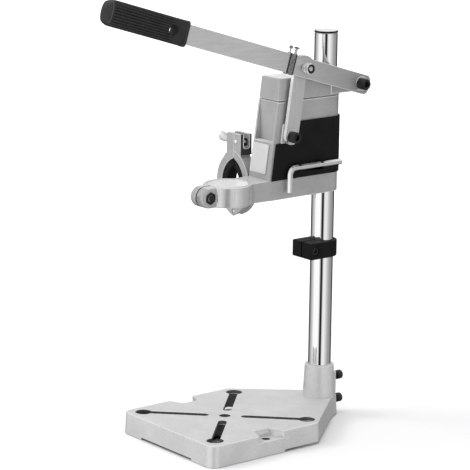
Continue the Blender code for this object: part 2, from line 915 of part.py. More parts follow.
# Side cover: a skin over the housing's side, with two holders for the hex key
cover_corners = [
    (cover_front_low, cover_low, 0),
    (cover_rear - cover_bevel_run, cover_low, 0),
    (cover_rear, cover_low + cover_bevel, 0),
    (cover_rear, cover_high, 0),
    (cover_step_y, cover_high, 0),
    (cover_step_y, cover_step, 0),
    (cover_front_step, cover_step, 0),
]
cover_reach = housing_half + cover_skin + overrun
cover = node("side_cover", block(cover_corners, [(0, 0), (0, cover_reach)], "X"), "black_plastic", carriage_origin)
combine(cover, housing(gap + cover_skin, cover_low - overrun, cover_high + overrun, 0), "INTERSECT")
key_hole = key_flat / math.sqrt(3) + gap
for holder_y in (holder_front_y, holder_rear_y):
    low = (column_radius, holder_y - holder_half, key_z - holder_height)
    holder = box(low, (holder_out, holder_y + holder_half, key_z + holder_height))
    join(cover, holder)
cut(cover, housing(gap, cover_low - 2 * overrun, cover_high + 2 * overrun, 0))
key_path = rod(key_hole, holder_front_y - 2 * holder_half, holder_rear_y + 2 * holder_half, "Y", (key_x, key_z))
cut(cover, key_path)
for holder_y in (holder_front_y, holder_rear_y):
    low = (key_x, holder_y - 2 * holder_half, key_z - key_hole)
    cut(cover, box(low, (holder_out + overrun, holder_y + 2 * holder_half, key_z + key_hole)))


# Hex key: a hexagon swept along a straight leg, a bend and a short leg
def swept_hexagon(path):
    rings = []
    reach = key_flat / math.sqrt(3)
    for (y, z), angle in path:
        ring = []
        for step in range(6):
            turn = math.pi / 3 * step
            out = reach * math.cos(turn)
            ring.append(Vector((key_x + reach * math.sin(turn), y + out * math.sin(angle), z + out * math.cos(angle))))
        rings.append(ring)
    return loft(rings)


key_path_points = [((key_end_y, key_z), 0)]
bend_y = key_front_y + key_bend
bend_z = key_z - key_bend
for step in range(key_steps + 1):
    angle = math.pi / 2 * step / key_steps
    key_path_points.append(((bend_y - key_bend * math.sin(angle), bend_z + key_bend * math.cos(angle)), -angle))
key_path_points.append(((key_front_y, key_tip_z), -math.pi / 2))
node("hex_key", swept_hexagon(key_path_points), "zinc", (key_x, key_front_y, key_z))

# Head casting: leaning front, sleeve round the column, lug for the lever, boss for the clamp screw
head_low = seam + gap
head_rings = []
for share, shrink, level in (
    (0, housing_edge, head_low),
    (0, 0, head_low + housing_edge),
    (1, 0, head_top - head_edge),
    (1, head_edge / 3, head_top - head_edge / 3),
    (1, head_edge, head_top),
):
    half = head_half_low + (head_half_high - head_half_low) * share
    front = head_front_low + (head_front_high - head_front_low) * share
    corners = [
        (-half, front, head_corner),
        (half, front, head_corner),
        (head_sleeve, head_sleeve, head_sleeve - round_rest),
        (-head_sleeve, head_sleeve, head_sleeve - round_rest),
    ]
    outline = outline_of(grown(corners, -shrink))
    head_rings.append([placed("Z", point.x, point.y, level) for point in outline])
head_cap = node("head_cap", loft(head_rings), "cast_dark")
lug_end = pivot_y + lug_radius
lug_corners = [
    (lug_root, pivot_z - lug_radius, 0),
    (lug_end, pivot_z - lug_radius, lug_radius - round_rest),
    (lug_end, pivot_z + lug_radius, lug_radius - round_rest),
    (lug_root, pivot_z + lug_radius, 0),
]
join(head_cap, block(lug_corners, eased(lug_inner, lug_outer, lug_edge, lug_edge), "X"))
boss = [(0, -column_wall), (clamp_boss_radius, -column_wall), (clamp_boss_radius, -clamp_boss_out + lug_edge)]
boss += [(clamp_boss_radius - lug_edge, -clamp_boss_out), (0, -clamp_boss_out)]
join(head_cap, turned(boss, "X", (0, clamp_screw_z), small_steps))
cut(head_cap, rod(slide_radius, head_low - overrun, head_top + overrun, "Z", (0, 0), round_steps))
cut(head_cap, rod(post_radius + gap, head_low - overrun, post_high + gap, "Z", (0, post_y)))
clamp_at = (0, clamp_screw_z)
# One more side than the bore, so that no edge of the hole meets an edge of the bore
clamp_hole = rod(clamp_screw_radius + gap, -clamp_boss_out - overrun, -column_wall, "X", clamp_at, small_steps + 1)
cut(head_cap, clamp_hole)
cut(head_cap, rod(pivot_radius + gap, lug_inner - overrun, lug_outer + overrun, "X", (pivot_y, pivot_z)))
head = (clamp_screw_head_radius, clamp_screw_head_height)
shank = (clamp_screw_radius, clamp_screw_seat - column_radius - gap)
cap_screw("head_clamp_screw", "black_oxide", "X", clamp_at, -clamp_screw_seat, -1, head, shank)

# Guide post, its end nut and the return spring
post_profile = [
    (0, post_low),
    (post_radius * (1 - shank_chamfer_share), post_low),
    (post_radius, post_low + post_radius * shank_chamfer_share),
    (post_radius, post_high),
    (0, post_high),
]
node("guide_post", turned(post_profile, "Z", (0, post_y), small_steps), "steel")
nut_base = post_low + gap
nut_top = nut_base + post_nut_height
post_nut_profile = [
    (post_radius + gap, nut_base),
    (post_nut_radius, nut_base),
    (post_nut_radius, nut_top - post_nut_flange),
    (post_nut_flange_radius, nut_top - post_nut_flange),
    (post_nut_flange_radius, nut_top),
    (post_radius + gap, nut_top),
]
node("guide_post_nut", turned(post_nut_profile, "Z", (0, post_y), small_steps), "steel")
spring_low = nut_top + gap + spring_wire_radius
spring_high = chamber_top - gap - spring_wire_radius
spring_curve = bpy.data.curves.new("return_spring", "CURVE")
spring_curve.dimensions = "3D"
spring_curve.bevel_depth = spring_wire_radius
spring_curve.bevel_resolution = 1
spring_curve.use_fill_caps = True
spring_line = spring_curve.splines.new("POLY")
spring_count = spring_turns * spring_points + 1
spring_line.points.add(spring_count - 1)
for index in range(spring_count):
    angle = 2 * math.pi * index / spring_points
    level = spring_low + (spring_high - spring_low) * index / (spring_count - 1)
    x = spring_mean_radius * math.cos(angle)
    y = post_y + spring_mean_radius * math.sin(angle)
    spring_line.points[index].co = (x, y, level, 1)
spring = bpy.data.objects.new("return_spring", spring_curve)
bpy.context.scene.collection.objects.link(spring)
spring_curve.materials.append(material_of("return_spring", "steel"))

# Lever, measured along and across from its pivot
pivot_origin = (lever_inner, pivot_y, pivot_z)
lever_outer = lever_inner + lever_thickness
lever_mid = lever_inner + lever_thickness / 2


def on_lever(along, across):
    y = pivot_y - along * math.cos(lever_slope) + across * math.sin(lever_slope)
    z = pivot_z + along * math.sin(lever_slope) + across * math.cos(lever_slope)
    return y, z


def lever_corners(low, high, half, low_corner, high_corner):
    corners = ((high, -half, high_corner), (low, -half, low_corner), (low, half, low_corner), (high, half, high_corner))
    return [(*on_lever(along, across), radius) for along, across, radius in corners]


# The bar swells upwards over the hole of the link
bump = [
    (-bump_foot_half, 0, bump_fillet),
    (-bump_top_half, bump_rise, bump_round),
    (bump_top_half, bump_rise, bump_round),
    (bump_foot_half, 0, bump_fillet),
]
bump_reach = eye_reach + bump_lead
bump_corners = [(*on_lever(bump_reach + along, lever_half + rise), radius) for along, rise, radius in bump]
bar_corners = lever_corners(-lever_tail, lever_length, lever_half, lever_tail_corner, lever_tail_corner)
lever_outline = bar_corners[:3] + bump_corners + bar_corners[3:]
lever_rows = eased(lever_inner, lever_outer, lever_edge, lever_edge)
lever = node("lever_bar", block(lever_outline, lever_rows, "X"), "steel", pivot_origin)
eye_at = on_lever(eye_reach, 0)
through = (lever_inner - overrun, lever_outer + overrun)
cut(lever, rod(pivot_radius + gap, *through, "X", (pivot_y, pivot_z)))
cut(lever, rod(link_bolt_radius + gap, *through, "X", eye_at))
grip_hole_at = on_lever(grip_hole_reach, 0)
cut(lever, rod(grip_hole_radius, *through, "X", grip_hole_at))

# Grip: flat where it meets the bar, thicker and round at its end
def grip_ring(along, half_thickness, half_height):
    corner = min(half_thickness, half_height) * grip_corner_share
    corners = [
        (-half_thickness, -half_height, corner),
        (half_thickness, -half_height, corner),
        (half_thickness, half_height, corner),
        (-half_thickness, half_height, corner),
    ]
    ring = []
    for point in outline_of(corners):
        y, z = on_lever(along, point.y)
        ring.append(Vector((lever_mid + point.x, y, z)))
    return ring


grip_rings = []
for step in range(edge_steps + 1):
    share = 1 - math.sin(math.pi / 2 * step / edge_steps)
    inset = lever_edge * 2 * share
    level = grip_start + lever_edge * 2 * (1 - math.cos(math.pi / 2 * step / edge_steps))
    grip_rings.append(grip_ring(level, grip_inner_half - inset, grip_half - inset))
dome_start = grip_end - grip_dome
grip_rings.append(grip_ring(dome_start, grip_outer_half, grip_half))
for step in range(1, corner_steps + 1):
    angle = math.pi / 2 * step / corner_steps
    shrink = 1 - grip_dome_share * (1 - math.cos(angle))
    level = dome_start + grip_dome * math.sin(angle)
    grip_rings.append(grip_ring(level, grip_outer_half * shrink, grip_half * shrink))
grip = node("lever_grip", loft(grip_rings), "black_rubber", pivot_origin)
tang_outline = lever_corners(grip_start - overrun, lever_length, lever_half, 0, lever_tail_corner)
tang_rows = [(gap, lever_inner - gap), (gap, lever_outer + gap)]
cut(grip, block(tang_outline, tang_rows, "X"))
recess_reach = lever_mid + grip_outer_half + overrun
recess_back = lever_mid - grip_outer_half - overrun
cut(grip, rod(grip_recess_radius, recess_back, recess_reach, "X", grip_hole_at))

# Pivot screw, washer, spacer and nut
pivot_at = (pivot_y, pivot_z)
pivot_hole = pivot_radius + gap
washer_low = lever_outer + gap
washer_high = washer_low + pivot_washer_thickness
node("pivot_washer", washer(pivot_hole, pivot_washer_radius, washer_low, washer_high, "X", pivot_at), "zinc", pivot_origin)
spacer = washer(pivot_hole, pivot_spacer_radius, lug_outer + gap, lever_inner - gap, "X", pivot_at)
node("pivot_spacer", spacer, "zinc", pivot_origin)
pivot_nut_high = lug_inner - gap
pivot_nut_low = pivot_nut_high - pivot_nut_height
hex_nut("pivot_nut", "black_oxide", pivot_nut_flat, pivot_hole, pivot_nut_low, pivot_nut_high, pivot_at, pivot_origin)
pivot_seat = washer_high + gap
head = (pivot_head_radius, pivot_head_height)
shank = (pivot_radius, pivot_seat + pivot_end)
cap_screw("pivot_screw", "black_oxide", "X", pivot_at, pivot_seat, 1, head, shank, pivot_origin)

# Link between the lever's eye and the carriage
link_outer = link_inner + link_thickness
foot_at = (link_foot_y, link_foot_z)
link_origin = (link_inner, *eye_at)
link_vector = Vector(eye_at) - Vector(foot_at)
link_up = link_vector.normalized()
link_side = Vector((link_up.y, -link_up.x))
link_corners = []
for end, way in ((foot_at, -1), (eye_at, 1)):
    for side in (way, -way):
        corner = Vector(end) + link_up * way * link_half - link_side * side * link_half
        link_corners.append((corner.x, corner.y, link_half - round_rest))
link_rows = eased(link_inner, link_outer, link_edge, link_edge)
link = node("link_bar", block(link_corners, link_rows, "X"), "steel", link_origin)
link_through = (link_inner - overrun, link_outer + overrun)
link_hole = link_bolt_radius + gap
for centre, radius in ((foot_at, link_foot_hole_radius), (eye_at, link_hole)):
    cut(link, rod(radius, *link_through, "X", centre))
sink_floor = link_inner + gap + link_sink_depth
sink = [
    (0, link_inner - overrun),
    (link_sink_radius + gap + overrun, link_inner - overrun),
    (link_bolt_radius + gap, sink_floor + gap),
    (0, sink_floor + gap),
]
cut(link, turned(sink, "X", eye_at, small_steps))
link_nut_low = lever_outer + gap
link_nut_high = link_nut_low + link_nut_height
lock_nut_low = link_nut_high + gap
lock_nut_high = lock_nut_low + link_nut_height
link_bolt_end = lock_nut_high - link_bolt_short
link_bolt_profile = [
    (0, link_inner + gap),
    (link_sink_radius - gap, link_inner + gap),
    (link_bolt_radius, sink_floor),
    (link_bolt_radius, link_bolt_end - link_edge),
    (link_bolt_radius - link_edge, link_bolt_end),
    (0, link_bolt_end),
]
node("link_upper_bolt", turned(link_bolt_profile, "X", eye_at, small_steps), "zinc", pivot_origin)
hex_nut("link_upper_nut", "zinc", link_nut_flat, link_hole, link_nut_low, link_nut_high, eye_at, pivot_origin)
hex_nut("link_lock_nut", "zinc", link_nut_flat, link_hole, lock_nut_low, lock_nut_high, eye_at, pivot_origin)
eye_washer = washer(link_hole, pivot_spacer_radius, link_outer + gap, lever_inner - gap, "X", eye_at)
node("link_upper_washer", eye_washer, "zinc", pivot_origin)
foot_washer_low = link_outer + gap
foot_washer_high = foot_washer_low + link_washer_thickness
foot_washer = washer(link_hole, link_washer_radius, foot_washer_low, foot_washer_high, "X", foot_at)
node("link_lower_washer", foot_washer, "zinc", carriage_origin)
foot_seat = foot_washer_high + gap
cut(carriage, rod(link_hole, link_screw_depth - gap, link_pad_out + overrun, "X", foot_at))
head = (link_screw_head_radius, link_screw_head_height)
shank = (link_bolt_radius, foot_seat - link_screw_depth)
cap_screw("link_lower_screw", "black_oxide", "X", foot_at, foot_seat, 1, head, shank, carriage_origin)

# Strap clip round the lever, with two upright screws
clip_low = clip_reach - clip_half
clip_high = clip_reach + clip_half
clip_inside = lever_half + gap
clip_outside = clip_inside + clip_skin
clip_levels = [(0, lever_inner - gap - clip_inner_skin), (0, lever_outer + gap + clip_skin)]
clip_outline = lever_corners(clip_low, clip_high, clip_outside, 0, 0)
clip = node("lever_clip", block(clip_outline, clip_levels, "X"), "black_oxide", pivot_origin)
clip_room = lever_corners(clip_low - overrun, clip_high + overrun, clip_inside, 0, 0)
cut(clip, block(clip_room, [(0, lever_inner - gap), (0, lever_outer + gap)], "X"))
for label, way, head_radius in (
    ("front", 1, clip_front_head_radius),
    ("rear", -1, clip_rear_head_radius),
):
    along = clip_reach + way * clip_screw_spread
    y, z = on_lever(along, 0)
    stand = Matrix.Translation((lever_mid, y, z)) @ Matrix.Rotation(-lever_slope, 4, "X")
    hole = rod(clip_screw_radius + gap, lever_half, clip_outside + overrun)
    hole.transform(stand)
    cut(clip, hole)
    head_low_level = clip_screw_top - clip_head_height
    profile = [
        (0, clip_inside),
        (clip_screw_radius, clip_inside),
        (clip_screw_radius, head_low_level),
        (head_radius, head_low_level),
        (head_radius, clip_screw_top - clip_head_height / 3),
        (head_radius * 3 / 4, clip_screw_top),
        (0, clip_screw_top),
    ]
    screw = turned(profile, steps=small_steps)
    screw.transform(stand)
    node(f"clip_screw_{label}", screw, "zinc", pivot_origin)

# Side clamp: two jaws that are arcs, hinged at the bottom, with ears at the top
ring_front = ring_y - ring_depth / 2
ring_back = ring_y + ring_depth / 2
swivel_at = (ring_y, ring_z)
clamp_origin = (ring_x, ring_y, ring_z)
hinge_z = ring_z - math.sqrt(ring_outer**2 - ring_offset**2) + jaw_hinge_rise
hinge_origin = (jaw_seam, ring_y, hinge_z)


# One half of a pointed oval ring, between two radii, cut off at a seam beside the middle.
def half_ring(side, inner, outer, seam_x):
    centre_x = ring_x - side * ring_offset
    reach = side * (seam_x - centre_x)
    points = []
    for radius, order in ((outer, 1), (inner, -1)):
        stop_angle = math.acos(reach / radius)
        row = arc(0, 0, radius, -order * stop_angle, order * stop_angle, 3 * corner_steps)
        points += [(centre_x + side * point.x, ring_z + point.y) for point in row]
    return points


def jaw(name, side, ear_low_x, ear_high_x):
    seam_x = jaw_seam + side * gap / 2
    origin = clamp_origin if side > 0 else hinge_origin
    piece = node(name, prism(half_ring(side, ring_inner, ring_outer, seam_x), ring_front, ring_back, "Y"), "cast_dark", origin)
    ear = [
        (ear_low_x, jaw_ear_low, 0),
        (ear_high_x, jaw_ear_low, 0),
        (ear_high_x, jaw_ear_top, jaw_ear_corner if side > 0 else gap),
        (ear_low_x, jaw_ear_top, gap if side > 0 else jaw_ear_corner),
    ]
    rows = [(0, ring_front + gap / 2), (0, ring_back - gap / 2)]
    join(piece, block(ear, rows, "Y"))
    return piece


inner_jaw = jaw("clamp_inner_jaw", 1, jaw_seam + gap / 2, jaw_ear_inner)
outer_jaw = jaw("clamp_outer_jaw", -1, jaw_ear_outer, jaw_seam - gap / 2)
for side, piece in ((1, inner_jaw), (-1, outer_jaw)):
    centre_x = ring_x - side * ring_offset
    floor_radius = ring_outer - groove_depth
    rim_radius = ring_outer + overrun
    low_angle = -math.acos((side * (jaw_seam - centre_x) - overrun) / rim_radius)
    row = arc(0, 0, rim_radius, low_angle, groove_top_angle, 2 * corner_steps)
    row += arc(0, 0, floor_radius, groove_top_angle, low_angle, 2 * corner_steps)
    groove = [(centre_x + side * point.x, ring_z + point.y) for point in row]
    cut(piece, prism(groove, ring_y - groove_half, ring_y + groove_half, "Y"))
    slot_end_x = jaw_ear_inner + overrun if side > 0 else jaw_ear_outer - overrun
    slot_x = sorted((slot_end_x, jaw_seam - side * overrun))
    slot_low = (slot_x[0], ring_y - jaw_slot_half, jaw_slot_low)
    cut(piece, box(slot_low, (slot_x[1], ring_y + jaw_slot_half, jaw_ear_top + overrun)))
knuckle = jaw_knuckle_radius
hinge_at = (jaw_seam, hinge_z)
tongue_cut = jaw_tongue_half + gap
join(inner_jaw, rod(knuckle, ring_y - jaw_tongue_half - overrun, ring_y + jaw_tongue_half + overrun, "Y", hinge_at))
for way in (-1, 1):
    inner_end = ring_y + way * jaw_tongue_half
    outer_end = ring_y + way * (ring_depth / 2 + overrun)
    cut(inner_jaw, rod(knuckle + gap, min(inner_end, outer_end), max(inner_end, outer_end), "Y", hinge_at))
    knuckle_ends = sorted((inner_end, ring_y + way * (ring_depth / 2 - gap)))
    join(outer_jaw, rod(knuckle, *knuckle_ends, "Y", hinge_at))
cut(outer_jaw, rod(knuckle + gap, ring_y - tongue_cut, ring_y + tongue_cut, "Y", hinge_at))
pin_span = (ring_front - overrun, ring_back + overrun)
for piece in (inner_jaw, outer_jaw):
    cut(piece, rod(jaw_hinge_radius + gap, *pin_span, "Y", hinge_at))
relief_low = (jaw_seam - jaw_relief_half, ring_front - overrun, ring_z - ring_outer)
relief_high = (jaw_seam + jaw_relief_half, ring_back + overrun, hinge_z - knuckle - gap / 2)
for piece in (inner_jaw, outer_jaw):
    cut(piece, box(relief_low, relief_high))
hinge_pin = rod(jaw_hinge_radius, ring_front - gap, ring_back + gap, "Y", hinge_at)
node("clamp_hinge_pin", hinge_pin, "zinc", hinge_origin)

# Screw that holds the side clamp on the arm
boss_face = -housing_half - gap
boss_depth = ring_x - ring_offset + ring_inner
join(inner_jaw, rod(swivel_boss_radius, boss_depth + gap, boss_face, "X", swivel_at))
cut(inner_jaw, rod(swivel_radius + gap, boss_depth - overrun, boss_face + overrun, "X", swivel_at))
swivel_seat = boss_depth + swivel_head_height + gap
head_room = rod(swivel_head_radius + gap, boss_depth - 3 * overrun, swivel_seat + gap, "X", swivel_at)
cut(inner_jaw, head_room)
cut(carriage, rod(swivel_radius + gap, -housing_half - overrun, swivel_end + gap, "X", swivel_at))
head = (swivel_head_radius, swivel_head_height)
shank = (swivel_radius, swivel_end - swivel_seat)
cap_screw("clamp_swivel_screw", "black_oxide", "X", swivel_at, swivel_seat, -1, head, shank, clamp_origin)

# Rubber linings
for label, side in (("inner", 1), ("outer", -1)):
    seam_x = jaw_seam + side * gap
    outline = half_ring(side, ring_inner - gap - lining, ring_inner - gap, seam_x)
    origin = clamp_origin if side > 0 else hinge_origin
    node(f"clamp_{label}_lining", prism(outline, ring_front + gap, ring_back - gap, "Y"), "black_rubber", origin)

# Eye bolt in the ears' slot, its pin, the wing nut and the ear plate
bolt_at = (ring_y, eye_z)
bolt_origin = (jaw_pin_x, ring_y, eye_z)
eye_half = jaw_slot_half - gap
eye_bolt = node(
    "clamp_eye_bolt",
    rod(jaw_bolt_eye_radius, ring_y - eye_half, ring_y + eye_half, "Y", (jaw_pin_x, eye_z)),
    "zinc",
    bolt_origin,
)
join(eye_bolt, rod(jaw_bolt_radius, jaw_bolt_end, jaw_pin_x, "X", bolt_at))
cut(eye_bolt, rod(jaw_pin_radius + gap, *pin_span, "Y", (jaw_pin_x, eye_z)))
cut(inner_jaw, rod(jaw_pin_radius + gap, *pin_span, "Y", (jaw_pin_x, eye_z)))
eye_pin = rod(jaw_pin_radius, ring_front - gap, ring_back + gap, "Y", (jaw_pin_x, eye_z))
node("clamp_eye_pin", eye_pin, "zinc", bolt_origin)
wing_seat = jaw_ear_outer - gap
hub_end = wing_seat - wing_hub_height
wing_origin = (wing_seat, ring_y, eye_z)
hub = [
    (0, wing_seat),
    (wing_hub_radius, wing_seat),
    (wing_hub_radius * 3 / 4, hub_end),
    (0, hub_end),
]
wing_nut = node("clamp_wing_nut", turned(hub, "X", bolt_at, small_steps), "zinc", wing_origin)
for way in (-1, 1):
    wing_corners = [
        (ring_y + way * wing_hub_radius / 2, wing_seat - wing_hub_height / 5),
        (ring_y + way * wing_span * 3 / 4, wing_seat - wing_hub_height / 3),
        (ring_y + way * wing_span, wing_seat - wing_rise * 3 / 4),
        (ring_y + way * wing_span * 5 / 6, wing_seat - wing_rise),
        (ring_y + way * wing_hub_radius / 2, hub_end + wing_hub_height / 5),
    ]
    wing = prism([Vector((x, y)) for y, x in wing_corners], eye_z - wing_half, eye_z + wing_half)
    bolt_line = Vector((0, ring_y, eye_z))
    wing.transform(Matrix.Translation(bolt_line) @ Matrix.Rotation(wing_turn, 4, "X") @ Matrix.Translation(-bolt_line))
    join(wing_nut, wing)
cut(wing_nut, rod(jaw_bolt_radius + gap, hub_end - overrun, wing_seat + overrun, "X", bolt_at))
slot_bottom = jaw_slot_half - round_rest
plate_slot = [
    (ring_y - jaw_slot_half, jaw_slot_low, slot_bottom),
    (ring_y + jaw_slot_half, jaw_slot_low, slot_bottom),
    (ring_y + jaw_slot_half, jaw_ear_top + overrun, 0),
    (ring_y - jaw_slot_half, jaw_ear_top + overrun, 0),
]
plate_low_x = jaw_ear_inner + gap
ear_plate = node(
    "clamp_ear_plate",
    box((plate_low_x, ring_front, ear_plate_low), (plate_low_x + ear_plate_skin, ring_back, jaw_ear_top)),
    "black_plastic",
    clamp_origin,
)
plate_high_x = plate_low_x + ear_plate_skin
cut(ear_plate, block(plate_slot, [(0, plate_low_x - overrun), (0, plate_high_x + overrun)], "X"))

# The cuts are made final, then the shading is smoothed between sharp edges.
graph = bpy.context.evaluated_depsgraph_get()
for made in list(bpy.data.objects):
    if made.hide_render or made.type != "MESH":
        continue
    if made.modifiers:
        final = bpy.data.meshes.new_from_object(made.evaluated_get(graph))
        made.modifiers.clear()
        made.data = final
    made.data.shade_smooth()
    made.data.set_sharp_from_angle(angle=math.radians(32))
for helper in helpers:
    bpy.data.objects.remove(helper, do_unlink=True)
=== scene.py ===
import json
import math

import bmesh
import bpy
import numpy as np
from mathutils import Matrix, Vector
from mathutils.bvhtree import BVHTree

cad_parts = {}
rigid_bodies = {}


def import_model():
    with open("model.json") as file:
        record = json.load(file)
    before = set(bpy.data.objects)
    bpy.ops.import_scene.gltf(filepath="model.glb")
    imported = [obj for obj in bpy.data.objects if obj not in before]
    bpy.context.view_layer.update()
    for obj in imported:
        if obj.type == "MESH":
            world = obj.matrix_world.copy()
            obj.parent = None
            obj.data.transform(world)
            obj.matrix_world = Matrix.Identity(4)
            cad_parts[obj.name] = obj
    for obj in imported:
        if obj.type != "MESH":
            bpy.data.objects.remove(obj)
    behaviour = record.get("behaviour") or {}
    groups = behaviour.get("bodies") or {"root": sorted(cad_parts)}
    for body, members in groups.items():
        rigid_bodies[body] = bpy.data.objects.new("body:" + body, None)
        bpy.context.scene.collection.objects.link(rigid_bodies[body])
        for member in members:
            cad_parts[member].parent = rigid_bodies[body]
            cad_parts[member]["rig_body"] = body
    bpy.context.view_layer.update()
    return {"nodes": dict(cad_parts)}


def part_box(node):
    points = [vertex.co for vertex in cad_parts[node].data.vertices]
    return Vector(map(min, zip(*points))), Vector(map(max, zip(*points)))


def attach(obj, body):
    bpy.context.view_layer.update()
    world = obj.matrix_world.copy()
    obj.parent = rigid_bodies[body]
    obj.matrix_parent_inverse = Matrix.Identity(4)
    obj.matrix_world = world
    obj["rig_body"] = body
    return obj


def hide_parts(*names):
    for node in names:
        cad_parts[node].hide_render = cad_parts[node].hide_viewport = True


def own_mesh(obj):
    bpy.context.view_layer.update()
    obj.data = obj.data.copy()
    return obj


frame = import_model()
nodes = frame["nodes"]
print("frame loaded:", len(nodes), "nodes")


# Nodes of the materials

def startMaterial(name, metallic):
    material = bpy.data.materials.new(name)
    material.use_nodes = True
    tree = material.node_tree
    shader = tree.nodes["Principled BSDF"]
    shader.inputs["Metallic"].default_value = metallic
    return material, tree, shader


# a new node, whose inputs take a value or another node's socket
def addNode(tree, kind, inputs, **settings):
    node = tree.nodes.new(kind)
    for name, value in settings.items():
        setattr(node, name, value)
    for name, value in inputs.items():
        if isinstance(value, bpy.types.NodeSocket):
            tree.links.new(value, node.inputs[name])
        else:
            node.inputs[name].default_value = value
    return node


# object coordinates, stretched where a grain runs one way
def objectPlace(tree, scale=(1, 1, 1), turn=(0, 0, 0)):
    where = tree.nodes.new("ShaderNodeTexCoord").outputs["Object"]
    values = {"Scale": scale, "Rotation": turn, "Vector": where}
    return addNode(tree, "ShaderNodeMapping", values).outputs["Vector"]


def noiseOf(tree, place, scale, detail=3, rough=0.55):
    values = {"Scale": scale, "Detail": detail, "Roughness": rough, "Vector": place}
    return addNode(tree, "ShaderNodeTexNoise", values).outputs["Fac"]


def rangeOf(tree, value, low, high, start=0.3, end=0.7):
    values = {"From Min": start, "From Max": end, "To Min": low, "To Max": high, "Value": value}
    return addNode(tree, "ShaderNodeMapRange", values).outputs["Result"]


def toneOf(tree, value, dark, light, start=0.3, end=0.7):
    ramp = addNode(tree, "ShaderNodeValToRGB", {"Fac": value})
    for stop, place, tone in zip(ramp.color_ramp.elements, (start, end), (dark, light)):
        stop.position = place
        stop.color = (tone, tone, tone * 1.005, 1)  # a grey with a trace of blue
    return ramp.outputs["Color"]


def bumpOf(tree, value, strength, distance, before=None):
    values = {"Strength": strength, "Distance": distance, "Height": value}
    if before:
        values["Normal"] = before
    return addNode(tree, "ShaderNodeBump", values).outputs["Normal"]


def timesTone(tree, tone, share):
    values = {"Factor": 1.0, "A": tone, "B": share}
    return addNode(tree, "ShaderNodeMix", values, data_type="RGBA", blend_type="MULTIPLY").outputs["Result"]


# the share runs from one value to another over a span of Y, a painted shade along the piece
def paintedShadeOf(tree, span, low, high):
    split = addNode(tree, "ShaderNodeSeparateXYZ", {"Vector": objectPlace(tree)})
    return rangeOf(tree, split.outputs["Y"], low, high, *span)


def joinSockets(tree, shader, tone, roughness, normal):
    for name, socket in (("Base Color", tone), ("Roughness", roughness), ("Normal", normal)):
        tree.links.new(socket, shader.inputs[name])


# Cast metal: a fine pitted skin over slow cloudy patches, with a sparkle of coarse grains if it is given.
# Wave and grain say how strong and how high their bumps are, after the grain's and the sparkle's scale.
def castMaterial(
    name, metallic, tone, rough, clouds=60, wave=(0.1, 0.0002), grain=(1600, 0.2, 0.00004), speck=None,
):
    material, tree, shader = startMaterial(name, metallic)
    place = objectPlace(tree)
    cloudy, grainy = noiseOf(tree, place, clouds, 4), noiseOf(tree, place, grain[0], 2)
    colour = toneOf(tree, cloudy, *tone)
    if speck:
        coarse = noiseOf(tree, place, speck[0], 2, 0.7)
        colour = timesTone(tree, colour, rangeOf(tree, coarse, 1 - speck[1], 1 + speck[1], 0.36, 0.64))
    normal = bumpOf(tree, grainy, *grain[1:], bumpOf(tree, cloudy, *wave))
    joinSockets(tree, shader, colour, rangeOf(tree, grainy, *rough), normal)
    return material


# Drawn or ground metal: streaks along one way, crossed by faint clouds
def brushedMaterial(
    name, metallic, tone, rough, clouds, streaks, stretch=(1, 1, 1), turn=(0, 0, 0), fade=None,
):
    material, tree, shader = startMaterial(name, metallic)
    streaky = noiseOf(tree, objectPlace(tree, stretch, turn), streaks[0], 5, 0.65)
    cloudy = noiseOf(tree, objectPlace(tree), clouds, 2)
    colour = toneOf(tree, streaky, *tone, 0.35, 0.65)
    # a fade, where given, darkens the colour along Y as painted shade
    if fade:
        colour = timesTone(tree, colour, paintedShadeOf(tree, **fade))
    joinSockets(tree, shader, colour, rangeOf(tree, cloudy, *rough), bumpOf(tree, streaky, *streaks[1:]))
    return material


# Moulded plastic or rubber: even colour, a fine leathery skin
def mouldedMaterial(name, gloss, tone, rough, clouds, grain):
    material, tree, shader = startMaterial(name, 0.0)
    place = objectPlace(tree)
    cloudy, grainy = noiseOf(tree, place, clouds, 3), noiseOf(tree, place, grain[0], 2)
    colour = toneOf(tree, cloudy, *tone)
    joinSockets(tree, shader, colour, rangeOf(tree, grainy, *rough), bumpOf(tree, grainy, *grain[1:]))
    shader.inputs["Specular IOR Level"].default_value = gloss
    return material


castAluminium = castMaterial(
    "cast aluminium", metallic=0.45, tone=(0.64, 0.72), rough=(0.36, 0.50),
    clouds=40, wave=(0.25, 0.0004), grain=(1400, 0.35, 0.00006), speck=(700, 0.055))
# a lighter copy of the cast finish for eased edges: painted edge highlight
castEdgeHighlight = castMaterial(
    "painted edge highlight of cast aluminium", metallic=0.8, tone=(0.80, 0.88), rough=(0.24, 0.34),
    grain=(1400, 0.15, 0.00004))
castHead = castMaterial(
    "cast aluminium of the head", metallic=0.5, tone=(0.39, 0.46), rough=(0.36, 0.46),
    clouds=40, wave=(0.2, 0.0003), grain=(1600, 0.3, 0.00005), speck=(700, 0.05))
# a lighter copy of the head's finish for eased edges of the head, carriage and jaws: painted edge highlight
headEdgeHighlight = castMaterial(
    "painted edge highlight of the head", metallic=0.3, tone=(0.62, 0.72), rough=(0.24, 0.34),
    grain=(1600, 0.15, 0.00004))
# lighter copies of the head's cast finish for upward faces: painted light
paintedLitTop = castMaterial(
    "painted light on upper faces of a casting", metallic=0.3, tone=(0.82, 0.90), rough=(0.30, 0.40), speck=(620, 0.05))
paintedLitArmTop = castMaterial(
    "painted light on upper faces of the arm", metallic=0.35, tone=(0.60, 0.68), rough=(0.32, 0.42), speck=(620, 0.05))
